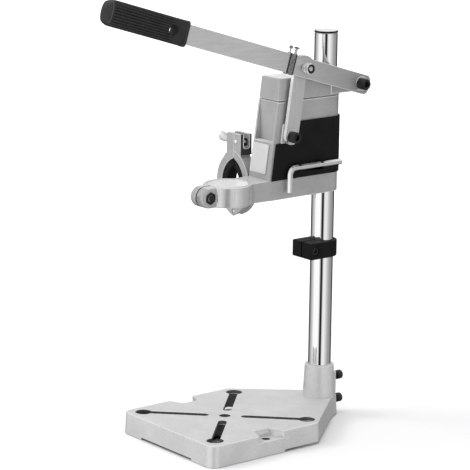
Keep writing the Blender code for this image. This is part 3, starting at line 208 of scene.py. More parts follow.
# a dark finish for faces in hollows and between the jaw's ears: painted shade
paintedShadeInside = castMaterial(
    "painted shade inside hollows", metallic=0.2, tone=(0.08, 0.15), rough=(0.55, 0.75),
    clouds=80, wave=(0.3, 0.0004), grain=(1200, 0.5, 0.0001), speck=(500, 0.2))
castJaw = castMaterial(
    "cast aluminium of the jaws", metallic=0.4, tone=(0.38, 0.45), rough=(0.36, 0.46),
    wave=(0.2, 0.0003), grain=(1600, 0.3, 0.00005), speck=(700, 0.05))
wingZinc = castMaterial(
    "dull zinc of the wing nut", metallic=0.5, tone=(0.66, 0.78), rough=(0.34, 0.48),
    clouds=160, wave=(0.2, 0.0002), grain=(1800, 0.3, 0.00005), speck=(900, 0.06))
blackOxide = castMaterial(
    "black oxide", metallic=0.3, tone=(0.008, 0.018), rough=(0.26, 0.42),
    clouds=160, wave=(0.1, 0.0001), grain=(2200, 0.25, 0.00003))
clipSteel = castMaterial(
    "dark clip steel", metallic=0.6, tone=(0.10, 0.34), rough=(0.30, 0.50),
    clouds=420, wave=(0.4, 0.0002), grain=(1500, 0.4, 0.00006))
palePlate = castMaterial(
    "blank satin plate", metallic=0.2, tone=(0.61, 0.65), rough=(0.30, 0.42),
    clouds=70, wave=(0.05, 0.0001), grain=(1500, 0.1, 0.00002))

machinedBore = brushedMaterial(
    "bored face of the collar", metallic=0.25, tone=(0.86, 0.94), rough=(0.25, 0.36),
    clouds=30, streaks=(420, 0.15, 0.00003), stretch=(1, 1, 0.06))
machinedFace = brushedMaterial(
    "turned face of the collar", metallic=0.6, tone=(0.54, 0.66), rough=(0.23, 0.30),
    clouds=30, streaks=(520, 0.3, 0.00004), stretch=(1, 1, 0.04))
# the fade darkens the bar towards its pivot end: painted shade
barSteel = brushedMaterial(
    "satin steel bar", metallic=0.75, tone=(0.60, 0.70), rough=(0.38, 0.46),
    clouds=30, streaks=(900, 0.25, 0.00003), stretch=(1, 0.05, 1), turn=(0.2932, 0, 0),
    fade={"span": (-0.12, 0.03), "low": 1.0, "high": 0.60})
linkSteel = brushedMaterial(
    "satin steel link", metallic=0.75, tone=(0.55, 0.64), rough=(0.38, 0.46),
    clouds=30, streaks=(900, 0.25, 0.00003), stretch=(1, 1, 0.05), turn=(-0.15, 0, 0))
# bright steel standing in for highlights: painted highlight on the bars' eased edges, the link's front face,
# the eye pin's end and the ear plate's bead
steelHighlight = brushedMaterial(
    "painted highlight of bright steel", metallic=0.35, tone=(0.90, 0.96), rough=(0.22, 0.30),
    clouds=60, streaks=(600, 0.1, 0.00002))
chromePlate = brushedMaterial(
    "chrome plate", metallic=1.0, tone=(0.80, 0.86), rough=(0.035, 0.06),
    clouds=12, streaks=(500, 0.04, 0.00001), stretch=(1, 1, 0.02))
brightZinc = brushedMaterial(
    "bright zinc of the nuts", metallic=0.8, tone=(0.80, 0.96), rough=(0.10, 0.26),
    clouds=240, streaks=(500, 0.2, 0.00004))
zincPlate = brushedMaterial(
    "zinc plate", metallic=1.0, tone=(0.74, 0.86), rough=(0.18, 0.30),
    clouds=90, streaks=(700, 0.15, 0.00003))
keySteel = brushedMaterial(
    "nickel of the hexagon key", metallic=1.0, tone=(0.80, 0.90), rough=(0.22, 0.34),
    clouds=60, streaks=(900, 0.2, 0.00002), stretch=(1, 0.04, 1))

blackPlastic = mouldedMaterial(
    "black moulded plastic", gloss=0.12, tone=(0.005, 0.008), rough=(0.46, 0.62),
    clouds=60, grain=(2600, 0.2, 0.00003))
blackPaint = mouldedMaterial(
    "black paint of the stop", gloss=0.08, tone=(0.006, 0.010), rough=(0.42, 0.56),
    clouds=90, grain=(2000, 0.3, 0.00004))
platePlastic = mouldedMaterial(
    "dark grey plate", gloss=0.4, tone=(0.030, 0.050), rough=(0.40, 0.55),
    clouds=120, grain=(2000, 0.2, 0.00003))
blackRubber = mouldedMaterial(
    "black rubber", gloss=0.40, tone=(0.011, 0.019), rough=(0.50, 0.70),
    clouds=90, grain=(1800, 0.35, 0.00005))
capRubber = mouldedMaterial(
    "end of the rubber grip", gloss=0.45, tone=(0.015, 0.024), rough=(0.46, 0.64),
    clouds=90, grain=(1800, 0.3, 0.00004))
# a lighter rubber for the raised lines: painted highlight on the ridges
ridgeHighlightRubber = mouldedMaterial(
    "painted highlight on the grip's raised lines", gloss=0.5, tone=(0.040, 0.060), rough=(0.34, 0.46),
    clouds=90, grain=(1800, 0.2, 0.00003))
liningRubber = mouldedMaterial(
    "soft black lining", gloss=0.2, tone=(0.005, 0.009), rough=(0.65, 0.85),
    clouds=140, grain=(1400, 0.4, 0.00008))
paleCap = mouldedMaterial(
    "pale cap disc", gloss=0.5, tone=(0.70, 0.76), rough=(0.35, 0.5),
    clouds=80, grain=(1600, 0.15, 0.00003))
print("materials ready")


def addObject(name, data):
    made = bpy.data.objects.new(name, data)
    bpy.context.scene.collection.objects.link(made)
    return made


# the piece stands for these nodes and rides on their body
def standFor(piece, *stands):
    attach(piece, nodes[stands[0]]["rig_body"])
    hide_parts(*stands)


# one field of all vertices, edges or faces of a mesh
def fieldOf(rows, field, width=3, kind=float):
    values = np.empty(len(rows) * width, kind)
    rows.foreach_get(field, values)
    return values.reshape(-1, width) if width > 1 else values


# A surface is a table of closed rows of points, (rows, columns, 3). Its ends are closed to a pole
# in the middle of the end rows, or the last row is joined to the first as a ring.
def surfaceFaces(rows, ends):
    count, columns = rows.shape[:2]
    points = rows.reshape(-1, 3)
    here = np.arange(columns)
    beside = np.roll(here, -1)
    used = count if ends == "ring" else count - 1
    low = (np.arange(used) * columns)[:, None]
    high = (np.arange(1, used + 1) % count * columns)[:, None]
    faces = np.stack([low + here, low + beside, high + beside, high + here], -1).reshape(-1, 4).tolist()
    if ends == "poles":
        last = (count - 1) * columns
        points = np.vstack([points, rows[0].mean(0), rows[-1].mean(0)])
        faces += np.stack([beside, here, np.full(columns, count * columns)], -1).tolist()
        faces += np.stack([last + here, last + beside, np.full(columns, count * columns + 1)], -1).tolist()
    corners = np.array([[face[0], face[1], face[2]] for face in faces])
    across = np.array([[face[0], face[2], face[-1]] for face in faces])
    volume = sum(
        np.einsum("ij,ij->", points[part[:, 0]], np.cross(points[part[:, 1]], points[part[:, 2]]))
        for part in (corners, across)
    )
    if volume < 0:  # the signed volume tells which way the faces look
        faces = [face[::-1] for face in faces]
    return points, faces


# Several closed surfaces become one piece. The trim lists further finishes, each for bands between the
# rows of the first surface.
def makePiece(name, surfaces, finish, stands, sharp=32, trim=()):
    allPoints, allFaces, start = [], [], 0
    for rows, ends in surfaces:
        points, faces = surfaceFaces(np.asarray(rows, float), ends)
        allPoints.append(points)
        allFaces += [[corner + start for corner in face] for face in faces]
        start += len(points)
    mesh = bpy.data.meshes.new(name)
    mesh.from_pydata(np.vstack(allPoints).tolist(), [], allFaces)
    mesh.shade_smooth()
    mesh.set_sharp_from_angle(angle=math.radians(sharp))
    mesh.materials.append(finish)
    if trim:
        columns = np.asarray(surfaces[0][0]).shape[1]
        index = np.zeros(len(mesh.polygons), np.int32)
        for number, (other, bands) in enumerate(trim, 1):
            mesh.materials.append(other)
            index[(np.array(bands)[:, None] * columns + np.arange(columns)).ravel()] = number
        mesh.polygons.foreach_set("material_index", index)
    piece = addObject(name, mesh)
    standFor(piece, *stands)
    return piece


# each axis with the two ways across it
sides = {
    "X": np.array([[1, 0, 0], [0, 1, 0], [0, 0, 1]], float),
    "Y": np.array([[0, 1, 0], [0, 0, 1], [1, 0, 0]], float),
    "Z": np.array([[0, 0, 1], [1, 0, 0], [0, 1, 0]], float),
}


# Turned surface: at each angle a row stands at its radius from the axis and at its level along it.
def turnedRows(radius, level, angles, centre, axis):
    along, first, second = sides[axis] if isinstance(axis, str) else axis
    radius, level = np.broadcast_arrays(radius, level)
    even = np.ones(len(angles))
    out = np.cos(angles)[None, :, None] * first + np.sin(angles)[None, :, None] * second
    return np.asarray(centre) + (level * even)[..., None] * along + (radius * even)[..., None] * out


def roundAngles(columns):
    return np.arange(columns) * (2 * math.pi / columns)


# angles of the first quarter, from a share of it on
def quarterTurn(count, start=0.0):
    return np.linspace(start, 1, count) * math.pi / 2


# a wave raised to a power with its sign kept, as a superellipse needs it
def powered(wave, power):
    return np.sign(wave) * np.abs(wave) ** power


# radius and level of the eight corners round the section of a ring with eased edges
def ringProfile(inner, outer, low, high, ease):
    return [
        (inner, low + ease), (inner + ease, low), (outer - ease, low), (outer, low + ease),
        (outer, high - ease), (outer - ease, high), (inner + ease, high), (inner, high - ease),
    ]


# Distance from the middle of a hexagon to its outline at each angle: half the flat over the cosine
# of the angle to the nearest flat's middle.
def hexagonRadius(flat, angles, turn=0.0):
    nearest = (angles - turn + math.pi / 6) % (math.pi / 3) - math.pi / 6
    return flat / 2 / np.cos(nearest)


# turned rows from a list of radius and level, each one number or one number per angle
def profileRows(profile, angles, centre, axis):
    even = np.ones(len(angles))
    table = [turnedRows((radius * even)[None, :], level, angles, centre, axis) for radius, level in profile]
    return np.vstack(table)


def turnedPiece(name, node, profile, finish, centre, axis, columns, ends="poles", sharp=32, trim=()):
    rows = profileRows(profile, roundAngles(columns), centre, axis)
    makePiece(name, [(rows, ends)], finish, (node,), sharp, trim)


# Screw thread: the radius falls from the crest by a cosine wave of the level over the pitch minus the
# angle's turn. The first turn runs out on a chamfer.
def threadRows(radius, pitch, low, high, way, angles, centre, axis, steps=6, share=0.3, chamfer=1.4):
    levels = np.linspace(low, high, max(int(abs(high - low) / pitch * steps), 2) + 1)[:, None]
    depth = share * pitch
    wave = 0.5 - 0.5 * np.cos(2 * math.pi * (levels / pitch) - angles[None, :])
    point = np.clip((levels - low) * way / (depth * chamfer), 0, 1)
    return turnedRows(radius - depth * (1 - point) - depth * wave * point, levels, angles, centre, axis)


# Shares of the head's radius. The floor is a share of its height and the tip of the socket's width,
# and the neck is a length.
screwHead = {
    "columns": 144, "ribs": 36, "rib": 0.035, "bevel": 0.12, "shoulder": 0.132, "crown": (0.048, 0.042),
    "foot": 0.94, "rise": 0.06, "rim": 0.07, "floor": 0.45, "tip": 0.2, "tipDepth": 0.12, "neck": 0.0006,
    "tipBands": [0, 1, 2],
}


# Cap screw: threaded shank, fine lengthwise ribs round the head and a hexagon socket as wide as the
# head's radius. It points along way.
def capScrew(name, node, look):
    values = screwHead
    angles = roundAngles(values["columns"])
    centre, axis, way = look["seat"], look["axis"], look["way"]
    (radius, height), (shank, length) = look["head"], look["shank"]
    bevel, floor, rim = radius * values["bevel"], height * values["floor"], radius * values["rim"]
    crownIn, crownDown = (radius * share for share in values["crown"])
    rib = radius * values["rib"] * (0.5 - 0.5 * np.cos(values["ribs"] * angles))
    hexagon = hexagonRadius(radius, angles)
    thread = threadRows(shank, look["pitch"], -way * length, -way * values["neck"], way, angles, centre, axis)
    profile = [
        (shank, 0.0), (radius * values["foot"] - rib, 0.0), (radius - rib, radius * values["rise"]),
        (radius - rib, height - radius * values["shoulder"]),
        (radius - crownIn - rib * 0.4, height - crownDown),
        (radius - bevel, height), (hexagon + rim, height), (hexagon, height - rim), (hexagon, floor),
        (hexagon * values["tip"], floor - radius * values["tipDepth"]),
    ]
    head = profileRows([(out, way * level) for out, level in profile], angles, centre, axis)
    trim = [(look["tip"], values["tipBands"])] if "tip" in look else []
    makePiece(name, [(np.vstack([thread, head]), "poles")], blackOxide, (node,), 28, trim)


# the circle is a share of half the flat, the ease a share of the bore
nutCone = {"columns": 96, "circle": 0.97, "slope": math.radians(30), "ease": 0.14, "boreBands": [0, 5, 6, 7]}


# Hexagon nut: the corners are cut by a cone at both faces, so the level of the flats' ends rises with
# the distance of the outline from the cone's circle.
def hexNut(name, node, look):
    flat, bore, (low, high) = look["flat"], look["bore"], look["span"]
    corner = hexagonRadius(flat, roundAngles(nutCone["columns"]), look.get("turn", 0.0))
    circle = flat / 2 * nutCone["circle"]
    rise = (corner - circle) * math.tan(nutCone["slope"])
    ease = bore * nutCone["ease"]
    profile = [
        (bore, low + ease), (bore + ease, low), (circle, low), (corner, low + rise),
        (corner, high - rise), (circle, high), (bore + ease, high), (bore, high - ease),
    ]
    trim = [(look["boreFinish"], nutCone["boreBands"])] if "boreFinish" in look else []
    finish, columns = look["finish"], nutCone["columns"]
    turnedPiece(name, node, profile, finish, look["centre"], "X", columns, "ring", 24, trim)


# Washer or spacer: a flat ring of zinc with eased edges
def flatRing(name, node, radii, span, centre, ease=0.22):
    profile = ringProfile(*radii, *span, ease * (span[1] - span[0]))
    turnedPiece(name, node, profile, zincPlate, centre, "X", 72, "ring")


# Round pin with domed ends, along Y
def roundPin(name, node, radius, span, centre, finish, share=0.35):
    low, high = span
    dome = radius * share
    ends = [(radius * math.sin(step), dome * (1 - math.cos(step))) for step in quarterTurn(5, 0.15)]
    profile = [(out, low + level) for out, level in ends]
    profile += [(out, high - level) for out, level in reversed(ends)]
    turnedPiece(name, node, profile, finish, centre, "Y", 48, sharp=40)


# Which points lie inside any of the boxes, given as low and high corners
def insideAny(points, boxes):
    held = np.zeros(len(points), bool)
    for low, high in boxes:
        held |= np.all((points > low) & (points < high), axis=1)
    return held


# the piece's mesh takes its modifiers' result
def bakeModifiers(piece):
    baked = bpy.data.meshes.new_from_object(piece.evaluated_get(bpy.context.evaluated_depsgraph_get()))
    piece.modifiers.clear()
    piece.data = baked


# Faces inside a hollow look down, or at another face of the same piece within reach.
def facesInside(mesh, centres, normals, reach=0.2, above=0.0002, down=-0.7, up=0.5):
    corners = [tuple(face.vertices) for face in mesh.polygons]
    tree = BVHTree.FromPolygons([vertex.co for vertex in mesh.vertices], corners)
    rays = zip((centres + normals * above).tolist(), normals.tolist())
    seen = np.array([tree.ray_cast(start, way, reach)[0] is not None for start, way in rays])
    return (seen | (normals[:, 2] < down)) & (normals[:, 2] < up)


easing = {
    "merge": 0.000002, "flat": math.radians(0.5), "atLevel": 0.00002, "angle": math.radians(38),
    "segments": 2, "tidy": 0.00002, "sharp": math.radians(50), "facing": 0.9,
}


# The node's own mesh, its loose triangles merged and its flat faces made whole, and how far each edge turns
def mergedShape(name, node):
    shape = bmesh.new()
    shape.from_mesh(nodes[node].data)
    bmesh.ops.remove_doubles(shape, verts=shape.verts, dist=easing["merge"])
    bmesh.ops.dissolve_limit(shape, angle_limit=easing["flat"], verts=shape.verts, edges=shape.edges)
    turns = np.array([edge.calc_face_angle_signed(0.0) for edge in shape.edges])
    mesh = bpy.data.meshes.new(name)
    shape.to_mesh(mesh)
    shape.free()
    return mesh, turns


# Changes of place that the photograph asks for: a level's rise, a width that grows with the height so
# that the hinge stays as it is, and boxes of points that move.
def movePoints(mesh, look):
    points = fieldOf(mesh.vertices, "co")
    level, rise = look.get("lift", (0.0, 0.0))
    points[np.abs(points[:, 2] - level) < easing["atLevel"], 2] += rise
    seam, share, start, full = look.get("widen", (0.0, 1.0, 0.0, 1.0))
    grown = 1 + (share - 1) * np.clip((points[:, 2] - start) / (full - start), 0, 1)
    points[:, 0] = seam + (points[:, 0] - seam) * grown
    for room, shift in look.get("moves", ()):
        points[insideAny(points, [room])] += shift
    mesh.vertices.foreach_set("co", points.ravel())
    return points


# A narrow bevel turns the outward edges, then the flat faces keep flat shading.
def easeEdges(piece, width):
    bevel = piece.modifiers.new("eased edges", "BEVEL")
    bevel.width = width
    bevel.segments = easing["segments"]
    bevel.limit_method = "WEIGHT"
    bevel.use_clamp_overlap = False
    bevel.loop_slide = False
    # the bevel's faces take the second slot, the edge finish, which is a painted highlight where it is
    # lighter
    bevel.material = 1
    bakeModifiers(piece)
    shape = bmesh.new()
    shape.from_mesh(piece.data)
    bmesh.ops.remove_doubles(shape, verts=shape.verts, dist=easing["tidy"])
    bmesh.ops.dissolve_degenerate(shape, edges=shape.edges, dist=easing["tidy"])
    shape.to_mesh(piece.data)
    shape.free()
    piece.data.shade_smooth()
    piece.data.set_sharp_from_angle(angle=easing["sharp"])
    even = piece.modifiers.new("flat faces kept flat", "WEIGHTED_NORMAL")
    even.weight = 100
    even.keep_sharp = True
    bakeModifiers(piece)


# Finishes of single faces: machined spots are bands at a radius from an upright axis; the faces toward a way
# take a lighter finish as painted light, and the walls in a box and the inside of a hollow a dark one as
# painted shade.
def finishFaces(mesh, look):
    centres, normals = fieldOf(mesh.polygons, "center"), fieldOf(mesh.polygons, "normal")
    index = fieldOf(mesh.polygons, "material_index", 1, np.int32)

    def give(finish, there):
        index[there] = len(mesh.materials)
        mesh.materials.append(finish)

    for spot in look.get("spots", ()):
        away = np.hypot(centres[:, 0] - spot["centre"][0], centres[:, 1] - spot["centre"][1])
        low, high = spot["radii"]
        give(spot["finish"], (away > low) & (away < high) & insideAny(centres, [spot["box"]]) & (index == 0))
    for way, finish in look.get("toward", ()):
        give(finish, (normals @ np.array(way, float) > easing["facing"]) & (index == 0))
    for room, way, finish in look.get("walls", ()):
        give(finish, insideAny(centres, [room]) & (normals @ np.array(way, float) > easing["facing"]))
    if "inside" in look:
        finish, away = look["inside"]
        give(finish, facesInside(mesh, centres, normals) & (index < 2) & ~insideAny(centres, away))
    mesh.polygons.foreach_set("material_index", index)


# A casting's or bar's own shape with its outward edges eased, which take the edge finish; where that is
# lighter than the body's finish it is a painted edge highlight
def easedCopy(name, node, look):
    mesh, turns = mergedShape(name, node)
    points = movePoints(mesh, look)
    middles = points[fieldOf(mesh.edges, "vertices", 2, np.int32)].mean(1)
    eased = (turns > easing["angle"]) & ~insideAny(middles, look.get("leave", ()))
    weights = mesh.attributes.new("bevel_weight_edge", "FLOAT", "EDGE")
    weights.data.foreach_set("value", eased.astype(np.float32))
    mesh.materials.clear()
    mesh.materials.append(look["finish"])
    mesh.materials.append(look["edge"])
    mesh.polygons.foreach_set("material_index", np.zeros(len(mesh.polygons), np.int32))
    mesh.shade_smooth()
    piece = addObject(name, mesh)
    easeEdges(piece, look["width"])
    finishFaces(piece.data, look)
    standFor(piece, node)


# boxes by their low and high corners
notchWalls = [((-0.085, -0.17, 0.0125), (-0.05, -0.05, 0.02)), ((0.05, -0.17, 0.0125), (0.085, -0.05, 0.02))]
socketRoom = ((-0.03, -0.03, 0.004), (0.03, 0.03, 0.07))
collarAxis = (0, -0.133)
# the seam's X, the share of the width, and the heights where it starts and is full
outward = (-0.0429, 1.07, 0.2420, 0.2520)
earShift = (((-0.0600, -0.10, 0.2965), (-0.0500, -0.07, 0.33)), (-0.0022, 0, 0))
knuckle = ((-0.06, -0.10, 0.225), (-0.02, -0.07, 0.245))
pinHole = ((-0.0418, -0.10, 0.3105), (-0.0366, -0.07, 0.3165))
nutPocket = ((0.0, -0.1745, 0.2575), (0.02, -0.1545, 0.2790))
slit = ((-0.0016, -0.18, 0.2560), (0.0016, -0.1545, 0.2810))
earRoom = ((-0.0580, -0.0935, 0.2990), (-0.0440, -0.0740, 0.3235))
boreSpot = {
    "centre": collarAxis, "radii": (0.0205, 0.0218), "finish": machinedBore,
    "box": ((-0.03, -0.16, 0.25), (0.03, -0.10, 0.29)),
}
collarSpot = {
    "centre": collarAxis, "radii": (0.0252, 0.0262), "finish": machinedFace,
    "box": ((-0.03, -0.17, 0.2585), (0.03, -0.112, 0.2785)),
}
# The width is the bevel's, edges in the leave boxes stay sharp, toward gives the faces that look one
# way a lighter finish as painted light, and walls and inside give faces a dark finish as painted shade.
castings = {
    "basePlate": ("base_plate", {
        "width": 0.0006, "finish": castAluminium, "edge": castEdgeHighlight,
        # faces inside the base's hollows take a dark finish: painted shade
        "inside": (paintedShadeInside, notchWalls + [socketRoom]),
    }),
    "carriageCasting": ("carriage", {
        "width": 0.0008, "finish": castHead, "edge": headEdgeHighlight, "leave": [nutPocket, slit],
        # upward faces of the carriage take a lighter copy of its finish: painted light
        "spots": [boreSpot, collarSpot], "toward": [((0, 0, 1), paintedLitArmTop)],
        # the slit's walls take black oxide: painted shade in the narrow slit
        "walls": [(slit, (1, 0, 0), blackOxide), (slit, (-1, 0, 0), blackOxide)],
    }),
    "headCasting": ("head_cap", {
        "width": 0.0007, "finish": castHead, "edge": headEdgeHighlight, "lift": (0.3628, 0.0005),
        # upward faces of the head take a lighter copy of its finish: painted light
        "toward": [((0, 0, 1), paintedLitTop)],
    }),
    "innerJaw": ("clamp_inner_jaw", {
        "width": 0.0006, "finish": castJaw, "edge": headEdgeHighlight, "leave": [knuckle, pinHole],
    }),
    "outerJaw": ("clamp_outer_jaw", {
        "width": 0.0005, "finish": castJaw, "edge": headEdgeHighlight, "leave": [knuckle],
        # the outer jaw's ear faces toward +X take a dark finish: painted shade between the ears
        "widen": outward, "moves": [earShift], "walls": [(earRoom, (1, 0, 0), paintedShadeInside)],
    }),
    "leverBar": ("lever_bar", {"width": 0.0003, "finish": barSteel, "edge": steelHighlight}),
    "linkBar": ("link_bar", {
        # the link's front narrow face takes the bright edge finish: painted light
        "width": 0.0004, "finish": linkSteel, "edge": steelHighlight, "toward": [((0, -1, 0.1), steelHighlight)],
    }),
    "stopBlock": ("stop_collar", {"width": 0.0004, "finish": blackPaint, "edge": blackPaint}),
    "sideCover": ("side_cover", {"width": 0.0003, "finish": blackPlastic, "edge": blackPlastic}),
    "frontPlate": ("front_plate", {"width": 0.0001, "finish": palePlate, "edge": palePlate}),
    "innerLining": ("clamp_inner_lining", {"width": 0.0003, "finish": liningRubber, "edge": liningRubber}),
    "outerLining": ("clamp_outer_lining", {
        "width": 0.0003, "finish": liningRubber, "edge": liningRubber, "widen": outward,
    }),
}
for name, (node, look) in castings.items():
    easedCopy(name, node, look)
print("castings and bars eased:", len(castings))

column = {
    "radius": 0.0125, "wall": 0.002, "ease": 0.0005, "room": 0.0001,
    "capRadius": 0.0128, "capRim": 0.0019, "capEase": 0.0004, "plugRoom": 0.0002, "plugTaper": 0.0008,
    "paleBands": [2, 10, 12],  # the rim's underside, the disc's edge and the disc
}


# Column tube, and its cap: a plug with a black rounded rim, into which a pale disc is set
def makeColumn(values):
    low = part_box("column_tube")[0].z
    capLow, capHigh = (corner.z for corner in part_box("column_cap"))
    rim = capHigh - values["capRim"]
    high = rim - values["room"]
    outer, ease = values["radius"], values["ease"]
    inner = outer - values["wall"]
    profile = ringProfile(inner, outer, low, high, ease)
    turnedPiece("columnTube", "column_tube", profile, chromePlate, (0, 0, 0), "Z", 160, "ring")
    edge, soft = values["capRadius"], values["capEase"]
    plug = inner - values["plugRoom"]
    turn = quarterTurn(5)
    crown = zip(edge - soft + soft * np.cos(turn), capHigh - soft + soft * np.sin(turn))
    profile = [
        (plug * 0.7, capLow), (plug, capLow + values["plugTaper"]), (plug, rim), (edge - soft, rim),
        (edge, rim + soft / 2), *crown, (edge - 3 * soft, capHigh), (edge - 4 * soft, capHigh - soft),
    ]
    trim = [(paleCap, values["paleBands"])]
    turnedPiece("columnCap", "column_cap", profile, blackPlastic, (0, 0, 0), "Z", 120, "poles", 40, trim)


makeColumn(column)
print("column ready")

lever = {
    "pivot": (0.0239, 0.3753), "slope": math.radians(16.8), "inner": 0.0256, "thickness": 0.005,
    "half": 0.0105,
}
leverMiddle = lever["inner"] + lever["thickness"] / 2


# Y and Z of a length along the lever and a height across it, from its pivot
def leverPoint(along, across):
    slope = lever["slope"]
    y = lever["pivot"][0] - along * np.cos(slope) + across * np.sin(slope)
    z = lever["pivot"][1] + along * np.sin(slope) + across * np.cos(slope)
    return y, z


grip = {
    "start": 0.247, "end": 0.3525, "innerHalf": 0.0063, "outerHalf": 0.0108, "widest": 0.9, "height": 0.0133,
    "powers": (6.0, 3.4), "settled": 0.03, "begin": 0.0006, "dome": 0.0118, "least": 0.04,
    "ribs": 28, "samples": 8, "ribDepth": 0.0011, "ribFrom": 0.012, "ribFull": 0.026, "ribSharp": 2.5,
    "ribEnd": 0.0008, "ribRun": 0.0016, "cap": 0.0052, "capFrom": 0.0008,
    "ring": (0.0005, 0.0004, 0.0005), "lip": 0.0026, "lipRise": (0.0004, -0.0010, 0.0007),
    "groove": (0.0008, 0.0004, 0.0005), "ringLine": (0.0, 0.0004), "lipLine": (0.0001, 0.0003),
    "beginWays": (0, 0.0001, 0.0003, 0.0006, 0.0012), "lipWays": (-0.0002, 0, 0.0004, 0.0008, 0.0012),
    "ribWays": (0.003, -0.0032, 44), "capWays": (-0.0020, -0.0012, -0.0006, 0, 0.0004, 0.0009),
    "closeAfter": 0.0013,
    "holeAt": 0.020, "holeRadius": 0.0062, "sleeve": 0.0054, "sleeveOut": 0.0006, "sleeveEase": 0.0004,
}


# where sections of the grip stand: dense at the lip, even along the ribs, dense again at the cap
def gripWays(values, length, capStart):
    lip = values["lip"]
    after, before, count = values["ribWays"]
    ways = [*values["beginWays"], *(lip + step for step in values["lipWays"])]
    ways += list(np.linspace(lip + after, capStart + before, count))
    ways += [capStart + step for step in values["capWays"]]
    closing = 1 - np.sin(quarterTurn(18, 0.02)) ** 0.9
    return np.array(ways + list(length - (values["cap"] - values["closeAfter"]) * closing))


# a raised line round the grip: its height, its middle from a place and its width
def swell(ways, place, line):
    height, middle, width = line
    return height * np.exp(-(((ways - place - middle) / width) ** 2))


# the same section with its points at equal steps round it, and the section's outward way at each
def evenSection(x, y, count):
    steps = np.hypot(np.diff(x, append=x[:1]), np.diff(y, append=y[:1]))
    way = np.concatenate([[0], np.cumsum(steps)])
    wanted = np.arange(count) * way[-1] / count
    x, y = np.interp(wanted, way, np.append(x, x[0])), np.interp(wanted, way, np.append(y, y[0]))
    dx, dy = np.roll(x, -1) - np.roll(x, 1), np.roll(y, -1) - np.roll(y, 1)
    size = np.maximum(np.hypot(dx, dy), 1e-9)
    return x, y, dy / size, -dx / size


# a round hole through the grip, whose wall stays in the grip's finish
def drillGrip(piece, radius, at, reach=0.02):
    drillRows = profileRows([(radius, -reach), (radius, reach)], roundAngles(64), (leverMiddle, *at), "X")
    points, faces = surfaceFaces(drillRows, "poles")
    drill = addObject("drill", bpy.data.meshes.new("drill"))
    drill.data.from_pydata(points.tolist(), [], faces)
    cut = piece.modifiers.new("hole", "BOOLEAN")
    cut.operation, cut.solver, cut.object = "DIFFERENCE", "EXACT", drill
    bakeModifiers(piece)
    bpy.data.objects.remove(drill, do_unlink=True)
    piece.data.shade_smooth()
    piece.data.set_sharp_from_angle(angle=math.radians(50))


# Grip: a superellipse section whose sides grow linearly with the way along the bar and close by a
# quarter of an ellipse. Equal steps round each section carry the ribs, which sink by a power of a
# cosine wave along the section's normal.
def makeGrip(values):
    length = values["end"] - values["start"]
    capStart = length - values["cap"]
    ways = gripWays(values, length, capStart)
    growth = np.minimum(ways / length / values["widest"], 1)
    halfThick = values["innerHalf"] + (values["outerHalf"] - values["innerHalf"]) * growth
    closing = np.clip((ways - length + values["dome"]) / values["dome"], 0, 1)
    shrink = np.maximum((1 - closing ** 2) ** 0.5, values["least"])
    start = 1 - np.clip(ways / values["begin"], 0, 1)
    relief = swell(ways, capStart, values["ring"]) + swell(ways, values["lip"], values["lipRise"])
    relief -= swell(ways, values["lip"], values["groove"])
    relief -= values["begin"] * (1 - np.sqrt(np.clip(1 - start ** 2, 0, 1)))
    halfThick = (halfThick + relief) * shrink
    halfHigh = (values["height"] + relief) * shrink
    count = values["ribs"] * values["samples"]
    wave = (0.5 + 0.5 * np.cos(2 * math.pi * np.arange(count) / values["samples"])) ** values["ribSharp"]
    fade = np.clip((ways - values["ribFrom"]) / (values["ribFull"] - values["ribFrom"]), 0, 1)
    fade = fade * fade * (3 - 2 * fade)  # eased at both ends
    fade *= np.clip((capStart - values["ribEnd"] - ways) / values["ribRun"], 0, 1)
    first, last = values["powers"]
    powers = 2 / np.interp(ways, [0, values["settled"], length], [first, last, last])
    dense = np.linspace(0, 2 * math.pi, 1441)[:-1]
    cosine, sine = np.cos(dense), np.sin(dense)
    rows = []
    for along, thick, high, rib, power in zip(ways, halfThick, halfHigh, fade, powers):
        x, y, outX, outY = evenSection(thick * powered(cosine, power), high * powered(sine, power), count)
        sink = values["ribDepth"] * rib * wave
        lineY, lineZ = leverPoint(values["start"] + along, y - outY * sink)
        rows.append(np.stack([leverMiddle + x - outX * sink, lineY, lineZ], -1))
    capBands = np.flatnonzero(ways[:-1] > capStart + values["capFrom"])
    between = (ways[:-1] + ways[1:]) / 2
    (ringAt, ringHalf), (lipAt, lipHalf) = values["ringLine"], values["lipLine"]
    lines = np.abs(between - capStart - ringAt) < ringHalf
    lines |= np.abs(between - values["lip"] - lipAt) < lipHalf
    # the raised lines take the lighter rubber: painted highlight
    trim = [(capRubber, capBands), (ridgeHighlightRubber, np.flatnonzero(lines))]
    piece = makePiece("leverGrip", [(np.stack(rows), "poles")], blackRubber, ("lever_grip",), 50, trim)
    at = leverPoint(values["start"] + values["holeAt"], 0.0)
    drillGrip(piece, values["holeRadius"], at)
    reach, soft = values["innerHalf"] + values["sleeveOut"], values["sleeveEase"]
    inner, outer = values["sleeve"], values["holeRadius"] + 0.0002
    profile = [
        (inner, -reach + soft), (inner + soft, -reach), (outer, -reach + 0.0001),
        (outer, reach - 0.0001), (inner + soft, reach), (inner, reach - soft),
    ]
    turnedPiece("gripHoleSleeve", "lever_grip", profile, blackRubber, (leverMiddle, *at), "X", 64, "ring", 40)


makeGrip(grip)

strap = {
    "reach": 0.1018, "half": 0.0045, "skin": 0.0005, "rim": 0.0004, "room": 0.0001, "bend": 0.0003,
    "rimSteps": (0.0003, 0.0010, 0.0014), "rimBands": [0, 1, 2, 3, 6, 7, 8, 9],
}


